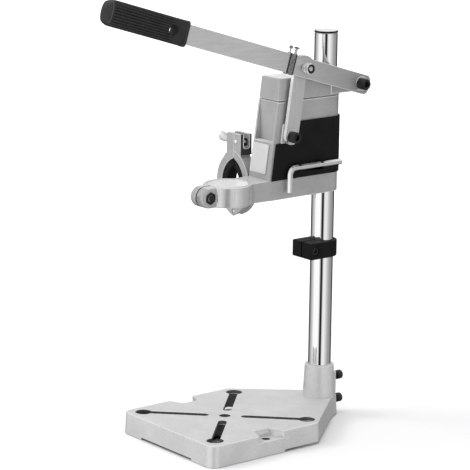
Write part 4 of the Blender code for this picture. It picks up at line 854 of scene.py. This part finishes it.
# Strap clip: a flat strap profile with raised dark rims carried round the bar on a rounded rectangle.
def makeStrap(values):
    half = lever["half"] + values["room"]
    thick = lever["thickness"] / 2 + values["room"]
    bend = values["bend"]
    turn = quarterTurn(7)
    path, normals = [], []
    for sideX, sideY, start in ((1, 1, 0), (-1, 1, 1), (-1, -1, 2), (1, -1, 3)):
        angle = turn + start * math.pi / 2
        normal = np.stack([np.cos(angle), np.sin(angle)], -1)
        path.append(np.array([sideX * (thick - bend), sideY * (half - bend)]) + normal * bend)
        normals.append(normal)
    path, normals = np.vstack(path), np.vstack(normals)
    wide, skin, rim = values["half"], values["skin"], values["rim"]
    soft, flat, foot = values["rimSteps"]
    rise = [
        (wide, 0), (wide, skin + rim * 0.6), (wide - soft, skin + rim), (wide - flat, skin + rim),
        (wide - foot, skin),
    ]
    section = np.array([(-way, level) for way, level in rise] + [(0, skin)] + rise[::-1])
    out = path[:, None, :] + normals[:, None, :] * (section[None, :, 1:] - values["room"])
    along = values["reach"] + section[None, :, 0] * np.ones((len(path), 1))
    lineY, lineZ = leverPoint(along, out[..., 1])
    outline = np.swapaxes(np.stack([leverMiddle + out[..., 0], lineY, lineZ], -1), 0, 1)
    trim = [(blackOxide, values["rimBands"])]
    makePiece("strapClip", [(outline, "ring")], clipSteel, ("lever_clip",), 30, trim)


makeStrap(strap)

clipScrews = {
    "front": {"spread": 0.004, "head": (0.0021, 0.0032), "neck": 0.0010, "top": 0.0190, "finish": clipSteel},
    "rear": {"spread": -0.004, "head": (0.0031, 0.0015), "neck": 0.0016, "top": 0.0188, "finish": blackOxide},
}
clipHead = {"gap": 0.0004, "pitch": 0.0008, "foot": 0.9, "rise": 0.0003, "dome": 0.0004, "close": 0.93}


# Clip screws stand upright on the bar: a threaded stem and a domed head.
def makeClipScrew(name, values):
    slope = lever["slope"]
    upright = np.array([
        [0, math.sin(slope), math.cos(slope)], [1, 0, 0], [0, math.cos(slope), -math.sin(slope)],
    ])
    centre = (leverMiddle, *leverPoint(strap["reach"] + values["spread"], 0.0))
    angles = roundAngles(48)
    radius, height = values["head"]
    neckTop = values["top"] - height
    low = lever["half"] + clipHead["gap"]
    stem = threadRows(values["neck"], clipHead["pitch"], low, neckTop, 1, angles, centre, upright)
    stem[-1] = turnedRows(values["neck"], neckTop, angles, centre, upright)[0]
    start = neckTop + clipHead["dome"]
    head = [(radius * clipHead["foot"], neckTop), (radius, neckTop + clipHead["rise"])]
    for step in quarterTurn(6, 0.1):
        level = start + (height - clipHead["dome"]) * math.sin(step)
        head.append((radius * math.cos(step * clipHead["close"]), level))
    rows = np.vstack([stem, profileRows(head, angles, centre, upright)])
    trim = [(values["finish"], np.arange(len(stem) - 1, len(rows) - 1))]
    makePiece(f"{name}ClipScrew", [(rows, "poles")], zincPlate, (f"clip_screw_{name}",), 35, trim)


for name, values in clipScrews.items():
    makeClipScrew(name, values)
print("lever, grip and clip ready")

# Axes of the screws: lever's pivot, link's eye and foot, collar's ears, clamp's swivel and swing bolt
pivotAt = (0, *lever["pivot"])
eyeAt = (0, *leverPoint(0.082, 0.0))
footAt = (0, -0.0656, 0.3252)
earAt = (0, -0.164, 0.26825)
swivelAt = (0, -0.08375, 0.2675)
jawBoltLine = (0, -0.08375, 0.3135)

# head and shank give radius and length, all in metres
capScrews = {
    "pivotScrew": ("pivot_screw", {
        "seat": (0.0327, *pivotAt[1:]), "axis": "X", "way": 1,
        "head": (0.006, 0.008), "shank": (0.004, 0.0362), "pitch": 0.00125,
    }),
    "linkScrew": ("link_lower_screw", {
        "seat": (0.0258, *footAt[1:]), "axis": "X", "way": 1,
        "head": (0.006, 0.007), "shank": (0.003, 0.0138), "pitch": 0.001,
    }),
    "collarScrew": ("collar_screw", {
        "seat": (-0.006, *earAt[1:]), "axis": "X", "way": -1,
        "head": (0.0065, 0.005), "shank": (0.004, 0.0186), "pitch": 0.00125, "tip": clipSteel,
    }),
    "headScrew": ("head_clamp_screw", {
        "seat": (-0.0225, 0, 0.375), "axis": "X", "way": -1,
        "head": (0.0065, 0.008), "shank": (0.004, 0.0097), "pitch": 0.00125,
    }),
    "swivelScrew": ("clamp_swivel_screw", {
        "seat": (-0.0220, *swivelAt[1:]), "axis": "X", "way": -1,
        "head": (0.005, 0.0035), "shank": (0.003, 0.016), "pitch": 0.001,
    }),
    "upperSocketScrew": ("socket_screw_upper", {
        "seat": (0, 0.0245, 0.042), "axis": "Y", "way": 1,
        "head": (0.005, 0.007), "shank": (0.003, 0.0117), "pitch": 0.001,
    }),
    "lowerSocketScrew": ("socket_screw_lower", {
        "seat": (0, 0.0245, 0.0154), "axis": "Y", "way": 1,
        "head": (0.005, 0.007), "shank": (0.003, 0.0117), "pitch": 0.001,
    }),
    "stopScrew": ("stop_collar_screw", {
        "seat": (0.0107, -0.0223, 0.19285), "axis": "X", "way": 1,
        "head": (0.0045, 0.005), "shank": (0.0025, 0.024), "pitch": 0.0008,
    }),
}
for name, (node, look) in capScrews.items():
    capScrew(name, node, look)

hexNut("pivotNut", "pivot_nut", {
    "flat": 0.013, "bore": 0.0043, "span": (-0.0028, 0.0037), "turn": math.radians(30),
    "centre": pivotAt, "finish": blackOxide,
})
hexNut("collarNut", "collar_nut", {
    "flat": 0.0116, "bore": 0.0042, "span": (0.0062, 0.0117), "centre": earAt, "finish": blackOxide,
})

nutSeat = {"outer": 0.0086, "low": 0.0052, "face": 0.01125, "flat": 0.0120, "ease": 0.0003}


# Seat of the collar's nut: a disc of the casting with a hexagonal well, flush with the ear's face.
def makeNutSeat(values):
    hexagon = hexagonRadius(values["flat"], roundAngles(96))
    low, face, ease, outer = values["low"], values["face"], values["ease"], values["outer"]
    profile = [
        (hexagon, low), (hexagon, face - ease), (hexagon + ease, face), (outer, face),
        (outer + ease, face - ease), (outer + ease, low),
    ]
    turnedPiece("collarNutSeat", "collar_nut", profile, castHead, earAt, "X", 96, "ring", 30)


makeNutSeat(nutSeat)
for name, node, span in (
    ("eyeNut", "link_upper_nut", (0.0309, 0.0354)), ("lockNut", "link_lock_nut", (0.0357, 0.0402)),
):
    hexNut(name, node, {
        "flat": 0.0103, "bore": 0.0034, "span": span, "centre": eyeAt, "finish": brightZinc,
        "boreFinish": blackOxide,
    })
flatRing("pivotWasher", "pivot_washer", (0.0043, 0.00825), (0.0309, 0.0324), pivotAt)
flatRing("pivotSpacer", "pivot_spacer", (0.0043, 0.0075), (0.0173, 0.0253), pivotAt, ease=0.06)
flatRing("eyeWasher", "link_upper_washer", (0.0033, 0.0075), (0.0243, 0.0253), eyeAt)
flatRing("footWasher", "link_lower_washer", (0.0033, 0.0083), (0.0243, 0.0255), footAt)
roundPin("hingePin", "clamp_hinge_pin", 0.002, (-0.091175, -0.076325), (-0.0425, 0, 0.236382), zincPlate)
# the eye pin's end takes the bright finish as a painted highlight
roundPin("eyePin", "clamp_eye_pin", 0.0017, (-0.0921, -0.076325), (-0.0392, 0, 0.3135), steelHighlight)

eyeBolt = {
    "head": 0.0055, "depth": 0.0020, "radius": 0.0028, "low": 0.0203, "high": 0.0398, "pitch": 0.001,
    "ease": 0.0002, "neck": 0.0001,
}


# Bolt through the link's eye: a countersunk head let into the link, then a threaded shank.
def makeEyeBolt(values):
    angles = roundAngles(72)
    low, head, radius, ease = values["low"], values["head"], values["radius"], values["ease"]
    sink = low + values["depth"]
    profile = [
        (radius * 0.5, low), (head - ease, low), (head, low + ease), (radius + values["neck"], sink),
        (radius, sink + 0.0003),
    ]
    thread = threadRows(radius, values["pitch"], values["high"], sink + 0.0006, -1, angles, eyeAt, "X")
    rows = np.vstack([profileRows(profile, angles, eyeAt, "X"), thread[::-1]])
    makePiece("eyeBolt", [(rows, "poles")], zincPlate, ("link_upper_bolt",), 30)


makeEyeBolt(eyeBolt)

jawBolt = {
    "pinX": -0.0392, "eye": 0.0045, "bore": 0.0019, "half": 0.0032, "ease": 0.0008, "radius": 0.0025,
    "end": -0.0742, "pitch": 0.0008, "join": 0.0006, "headSpan": (-0.0350, -0.0318),
    "head": [  # radius and share of the span
        (0.0036, 0), (0.0040, 0.25), (0.0040, 0.75), (0.00344, 1), (0.00264, 1), (0.00232, 0.75),
        (0.0016, 0.75), (0.00112, 0.9), (0.00032, 0.925),
    ],
    # the bright middle bands are a painted glint
    "paintedGlintBands": [6, 7],
}


# Clamp's swing bolt: a turned eye round its pin and a threaded shank out through the wing nut. A
# round dark head shows in the ear plate's slot; its bright middle is a painted glint.
def makeJawBolt(values):
    pinX, eye, bore, half, ease = (values[key] for key in ("pinX", "eye", "bore", "half", "ease"))
    profile = ringProfile(bore, eye, -half, half, ease)
    angles = roundAngles(72)
    ring = profileRows(profile, angles, (pinX, *jawBoltLine[1:]), "Y")
    start = pinX - eye + values["join"]
    shank = threadRows(values["radius"], values["pitch"], values["end"], start, 1, angles, jawBoltLine, "X")
    surfaces = [(ring, "ring"), (shank, "poles")]
    makePiece("swingBolt", surfaces, zincPlate, ("clamp_eye_bolt",), 35)
    low, face = values["headSpan"]
    profile = [(radius, low + (face - low) * share) for radius, share in values["head"]]
    trim = [(brightZinc, values["paintedGlintBands"])]
    turnedPiece(
        "swingBoltHead", "clamp_eye_bolt", profile, blackOxide, jawBoltLine, "X", 72, "poles", 35, trim,
    )


makeJawBolt(jawBolt)

earPlate = {
    "x": (-0.0313, -0.0301), "y": (-0.090875, -0.076625), "z": (0.2995, 0.3220), "slotHalf": 0.0043,
    "slotLow": 0.3063, "slotCorner": 0.0030, "bead": 0.00045,
}


# Ear plate: the outline with its slot is walked as one closed line and drawn out to the plate's
# thickness. A bead of round section follows the slot; its bright finish is a painted highlight on the slot's
# rim.
def makeEarPlate(values):
    (back, face), (front, rear), (low, high) = values["x"], values["y"], values["z"]
    middle, half, corner = (front + rear) / 2, values["slotHalf"], values["slotCorner"]
    bottom, turn = values["slotLow"], quarterTurn(9)
    out, down = half - corner + corner * np.cos(turn), bottom + corner - corner * np.sin(turn)
    leftArc, rightArc = np.stack([middle - out, down], -1), np.stack([middle + out, down], -1)[::-1]
    slot = np.vstack([[(middle - half, high)], leftArc, rightArc, [(middle + half, high)]])
    outline = np.vstack([[(front, low), (front, high)], slot, [(rear, high), (rear, low)]])
    mesh = bpy.data.meshes.new("earPlate")
    shape = bmesh.new()
    shape.faces.new([shape.verts.new((back, y, z)) for y, z in outline])
    raised = bmesh.ops.extrude_face_region(shape, geom=list(shape.faces))["geom"]
    lifted = [part for part in raised if isinstance(part, bmesh.types.BMVert)]
    bmesh.ops.translate(shape, vec=(face - back, 0, 0), verts=lifted)
    bmesh.ops.recalc_face_normals(shape, faces=shape.faces)
    bmesh.ops.triangulate(shape, faces=[part for part in shape.faces if len(part.verts) > 4])
    shape.to_mesh(mesh)
    shape.free()
    mesh.materials.append(platePlastic)
    standFor(addObject("earPlate", mesh), "clamp_ear_plate")
    step = np.gradient(slot, axis=0)
    step /= np.linalg.norm(step, axis=1, keepdims=True)
    across = np.stack([-step[:, 1], step[:, 0]], -1)
    around, radius = roundAngles(12), values["bead"]
    x = face + radius * np.sin(around)[None, :] * np.ones((len(slot), 1))
    y, z = (slot[:, [part]] + across[:, [part]] * radius * np.cos(around) for part in (0, 1))
    makePiece("earPlateBead", [(np.stack([x, y, z], -1), "poles")], steelHighlight, ("clamp_ear_plate",), 60)


makeEarPlate(earPlate)

# the wing's path gives its distance from the axis and from the seat
wingNut = {
    "seat": -0.0562, "hubEnd": -0.0735, "hub": (0.0050, 0.0044), "bore": 0.0028, "turn": math.radians(-50),
    "path": [(0.0025, 0.0052), (0.0052, 0.0054), (0.0076, 0.0066), (0.0092, 0.0084), (0.0097, 0.0102)],
    "width": [0.0024, 0.0021, 0.0017, 0.0014, 0.0011], "thick": [0.0016, 0.0014, 0.0013, 0.0012, 0.0010],
    "closes": 0.82, "squareness": 2.6, "bevel": 0.0004, "ease": 0.0006, "waist": (0.0020, 0.97, 1.06),
}


# Wing nut: a turned hub, and two wings whose rounded section is carried along a curved path away from
# the hub and closes to a rounded tip.
def makeWingNut(values):
    seat, end, bore = values["seat"], values["hubEnd"], values["bore"]
    (wide, narrow), bevel, ease = values["hub"], values["bevel"], values["ease"]
    waist, wideShare, narrowShare = values["waist"]
    profile = [
        (bore, seat - bevel), (bore + bevel, seat), (wide - ease, seat), (wide, seat - ease),
        (wide * wideShare, seat - waist), (narrow * narrowShare, end + waist), (narrow, end + ease),
        (narrow - 0.0005, end), (bore + bevel, end), (bore, end + bevel),
    ]
    surfaces = [(profileRows(profile, roundAngles(96), jawBoltLine, "X"), "ring")]
    knots = np.linspace(0, 1, len(values["path"]))
    share = np.linspace(0, 1, 29)
    line = np.array(values["path"])
    smooth = np.stack([np.interp(share, knots, line[:, part]) for part in (0, 1)], -1)
    for _ in range(3):  # neighbours are averaged, so the knots' corners round off
        smooth[1:-1] = (smooth[:-2] + 2 * smooth[1:-1] + smooth[2:]) / 4
    tangent = np.gradient(smooth, axis=0)
    tangent /= np.linalg.norm(tangent, axis=1, keepdims=True)
    normal = np.stack([-tangent[:, 1], tangent[:, 0]], -1)
    closes = values["closes"]
    close = np.sqrt(1 - np.clip((share - closes) / (1 - closes), 0, 0.995) ** 2)
    width = np.interp(share, knots, values["width"]) * close
    thick = np.interp(share, knots, values["thick"]) * close
    angles = roundAngles(32)
    across, through = (powered(wave(angles), 2 / values["squareness"]) for wave in (np.cos, np.sin))
    cosine, sine = math.cos(values["turn"]), math.sin(values["turn"])
    carried = smooth[:, None] + normal[:, None] * (width[:, None] * across)[..., None]
    radial, level = carried[..., 0], carried[..., 1]
    depth = thick[:, None] * through
    for way in (1, -1):
        y = jawBoltLine[1] + way * radial * cosine - depth * sine
        z = jawBoltLine[2] + way * radial * sine + depth * cosine
        surfaces.append((np.stack([seat - level, y, z], -1), "poles"))
    makePiece("wingNut", surfaces, wingZinc, ("clamp_wing_nut",), 40)


makeWingNut(wingNut)
print("screws, nuts and pins ready")

post = {"y": -0.048, "radius": 0.004, "ease": 0.0006}


# Guide post under the head
def makePost(values):
    low, high = (corner.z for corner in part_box("guide_post"))
    radius, ease = values["radius"], values["ease"]
    profile = [(radius - ease, low), (radius, low + ease), (radius, high - ease), (radius - ease, high)]
    turnedPiece("guidePost", "guide_post", profile, linkSteel, (0, values["y"], 0), "Z", 64)


makePost(post)

spring = {"radius": 0.0065, "wire": 0.0008, "turns": 11, "steps": 36, "sides": 14, "stroke": 0.056}


# Return spring: a round section carried along a helix, its two ends running flat for half a turn. It
# gets a mesh of its own.
def makeSpring(values):
    low, high = (corner.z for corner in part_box("return_spring"))
    wire, turns = values["wire"], values["turns"]
    share = np.linspace(0, 1, turns * values["steps"] + 1)
    angle = 2 * math.pi * turns * share
    lift = np.clip((share * turns - 0.5) / (turns - 1), 0, 1)
    level = low + wire + (high - low - 2 * wire) * lift
    out = np.stack([np.cos(angle), np.sin(angle), np.zeros(len(angle))], -1)
    centre = values["radius"] * out + np.stack([0 * level, post["y"] + 0 * level, level], -1)
    turn = roundAngles(values["sides"])[None, :, None]
    rows = centre[:, None] + wire * (np.cos(turn) * out[:, None] + np.sin(turn) * np.array([0, 0, 1.0]))
    piece = makePiece("returnSpring", [(rows, "poles")], zincPlate, ("return_spring",), 60)
    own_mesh(piece)


makeSpring(spring)

hexKey = {
    "flat": 0.0055, "x": 0.0222, "z": 0.2907, "front": -0.066, "end": 0.0057, "tip": 0.2647, "bend": 0.007,
    "ease": 0.0003, "softAngle": 0.05, "softReach": (0.985, 0.980, 0.985),
}


# Hexagon key: an eased hexagon carried along a long arm, a quarter circle and a short arm down.
def makeHexKey(values):
    bend, front, height, ease = values["bend"], values["front"], values["z"], values["ease"]
    turn = quarterTurn(15)
    start, tip = values["end"], values["tip"]
    y = np.concatenate([[start, start - ease], front + bend - bend * np.sin(turn), [front, front]])
    z = np.concatenate([[height, height], height - bend + bend * np.cos(turn), [tip + ease, tip]])
    lean = np.concatenate([[0, 0], turn, [math.pi / 2, math.pi / 2]])
    size = np.ones(len(y))
    size[[0, -1]] = 1 - ease / (values["flat"] / 2)
    corner = np.arange(6) * math.pi / 3
    soft = values["softAngle"]
    spread = np.stack([corner - soft, corner, corner + soft], -1).ravel()
    outline = values["flat"] / math.sqrt(3) * np.tile(values["softReach"], 6)
    sideways, upward = outline * np.sin(spread), outline * np.cos(spread) * size[:, None]
    x = values["x"] + sideways * size[:, None]
    rowsY = y[:, None] - np.sin(lean)[:, None] * upward
    rowsZ = z[:, None] + np.cos(lean)[:, None] * upward
    makePiece("hexagonKey", [(np.stack([x, rowsY, rowsZ], -1), "poles")], keySteel, ("hex_key",), 25)


makeHexKey(hexKey)

postNut = {"ease": 0.0008, "ribs": 40, "depth": 0.0003, "room": 0.0002, "columns": 240}


# The post's round end nut: a turned disc with fine ribs round its rim.
def makePostNut(values):
    low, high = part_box("guide_post_nut")
    outer = (high.x - low.x) / 2
    ribbed = outer - values["depth"] * (0.5 - 0.5 * np.cos(values["ribs"] * roundAngles(values["columns"])))
    ease, hole = values["ease"], post["radius"] + values["room"]
    profile = [
        (hole, low.z + ease * 0.5), (hole + ease, low.z), (outer - ease, low.z), (ribbed, low.z + ease),
        (ribbed, high.z - ease), (outer - ease, high.z), (hole + ease, high.z), (hole, high.z - ease * 0.5),
    ]
    centre = (0, post["y"], 0)
    turnedPiece("postNut", "guide_post_nut", profile, zincPlate, centre, "Z", values["columns"], "ring", 30)


makePostNut(postNut)
print("guide, spring and key ready")

photoCamera = {
    "azimuth": math.radians(51.257),  # from the front towards the lever's side
    "pitch": math.radians(12.846),
    "roll": math.radians(0.713),
    "lens": 174.97,
    "sensor": 36,
    "place": (1.84409, -1.60183, 0.76102),
    "far": 60,
}


def placeCamera(values):
    azimuth, pitch, roll = values["azimuth"], values["pitch"], values["roll"]
    level = math.cos(pitch)
    toward = Vector((math.sin(azimuth) * level, -math.cos(azimuth) * level, math.sin(pitch)))
    side = Vector((math.cos(azimuth), math.sin(azimuth), 0))
    above = toward.cross(side)
    right = side * math.cos(roll) + above * math.sin(roll)
    up = above * math.cos(roll) - side * math.sin(roll)
    pose = Matrix((right, up, toward)).transposed().to_4x4()
    pose.translation = values["place"]
    camera = addObject("camera", bpy.data.cameras.new("camera"))
    camera.matrix_world = pose
    camera.data.lens = values["lens"]
    camera.data.sensor_width = values["sensor"]
    camera.data.clip_end = values["far"]
    bpy.context.scene.camera = camera


placeCamera(photoCamera)

pale = {
    "half": 14.0, "drop": 0.0002, "tone": (0.926, 0.93), "rough": 0.9, "glow": 0.5, "glowSpan": (0.25, 1.6),
}


# Floor: plain and pale, and with the distance from the stand it fades into the white of the room.
def layFloor(values):
    half = values["half"]
    mesh = bpy.data.meshes.new("floor")
    corners = [(-half, -half, 0), (half, -half, 0), (half, half, 0), (-half, half, 0)]
    mesh.from_pydata(corners, [], [(0, 1, 2, 3)])
    floor = addObject("floor", mesh)
    material, tree, shader = startMaterial("pale floor", 0.0)
    place = objectPlace(tree)
    tree.links.new(toneOf(tree, noiseOf(tree, place, 3, 2), *values["tone"]), shader.inputs["Base Color"])
    shader.inputs["Roughness"].default_value = values["rough"]
    shader.inputs["Specular IOR Level"].default_value = 0.0
    away = addNode(tree, "ShaderNodeVectorMath", {0: place}, operation="LENGTH")
    glow = rangeOf(tree, away.outputs["Value"], 0.0, values["glow"], *values["glowSpan"])
    shader.inputs["Emission Color"].default_value = (1, 1, 1, 1)
    tree.links.new(glow, shader.inputs["Emission Strength"])
    mesh.materials.append(material)
    floor.location.z = -values["drop"]
    floor.visible_glossy = False


layFloor(pale)

lamps = {
    "key": {"place": (-1.6, -2.2, 2.6), "size": 1.6, "power": 34},
    "top": {"place": (-0.5, -0.3, 3.2), "size": 2.4, "power": 20},
}


def areaLight(name, values, aim=(0, -0.1, 0.2)):
    light = bpy.data.lights.new(name, "AREA")
    light.shape = "DISK"
    light.size = values["size"]
    light.energy = values["power"]
    lamp = addObject(name, light)
    lamp.location = values["place"]
    lamp.rotation_euler = (Vector(aim) - Vector(values["place"])).to_track_quat("-Z", "Y").to_euler()
    lamp.visible_glossy = False


for name, values in lamps.items():
    areaLight(name, values)

# the room's brightness by compass angle from the side where the photograph is taken, left of it below zero
room = {
    "strength": 0.85, "ceiling": 0.3,
    "tones": [
        (-180, 0.02), (-142, 0.02), (-126, 0.36), (-112, 0.55), (-92, 0.85), (-72, 1.35), (-25, 1.40),
        (-12, 0.55), (-7, 0.02), (7, 0.02), (13, 0.50), (20, 1.15), (42, 1.15), (60, 0.80), (84, 0.48),
        (106, 0.40), (120, 0.34), (136, 0.02), (180, 0.02),
    ],
}


def lightRoom(values):
    world = bpy.data.worlds.new("studio room")
    bpy.context.scene.world = world
    world.use_nodes = True
    tree = world.node_tree
    back = tree.nodes["Background"]
    where = tree.nodes.new("ShaderNodeTexCoord").outputs["Generated"]
    # the side where the photograph is taken comes to angle zero
    rotation = {"Vector": where, "Angle": math.pi / 2 - photoCamera["azimuth"]}
    turned = addNode(tree, "ShaderNodeVectorRotate", rotation, rotation_type="Z_AXIS").outputs["Vector"]
    split = addNode(tree, "ShaderNodeSeparateXYZ", {"Vector": turned}).outputs
    angle = addNode(tree, "ShaderNodeMath", {0: split["Y"], 1: split["X"]}, operation="ARCTAN2")
    share = rangeOf(tree, angle.outputs[0], 0, 1, -math.pi, math.pi)
    ramp = addNode(tree, "ShaderNodeValToRGB", {"Fac": share})
    elements = ramp.color_ramp.elements
    for number, (degrees, tone) in enumerate(values["tones"]):
        place = (degrees + 180) / 360
        stop = elements[number] if number < 2 else elements.new(place)
        stop.position = place
        stop.color = (tone, tone, tone, 1)
    height = rangeOf(tree, split["Z"], 0, 1, 0.0, values["ceiling"])  # the white ceiling's share
    sky = {"Factor": height, "A": ramp.outputs["Color"], "B": (1.0, 1.0, 1.0, 1)}
    mix = addNode(tree, "ShaderNodeMix", sky, data_type="RGBA")
    tree.links.new(mix.outputs["Result"], back.inputs["Color"])
    back.inputs["Strength"].default_value = values["strength"]


lightRoom(room)
bpy.context.scene.view_settings.view_transform = "Standard"
print("camera, floor and light ready")
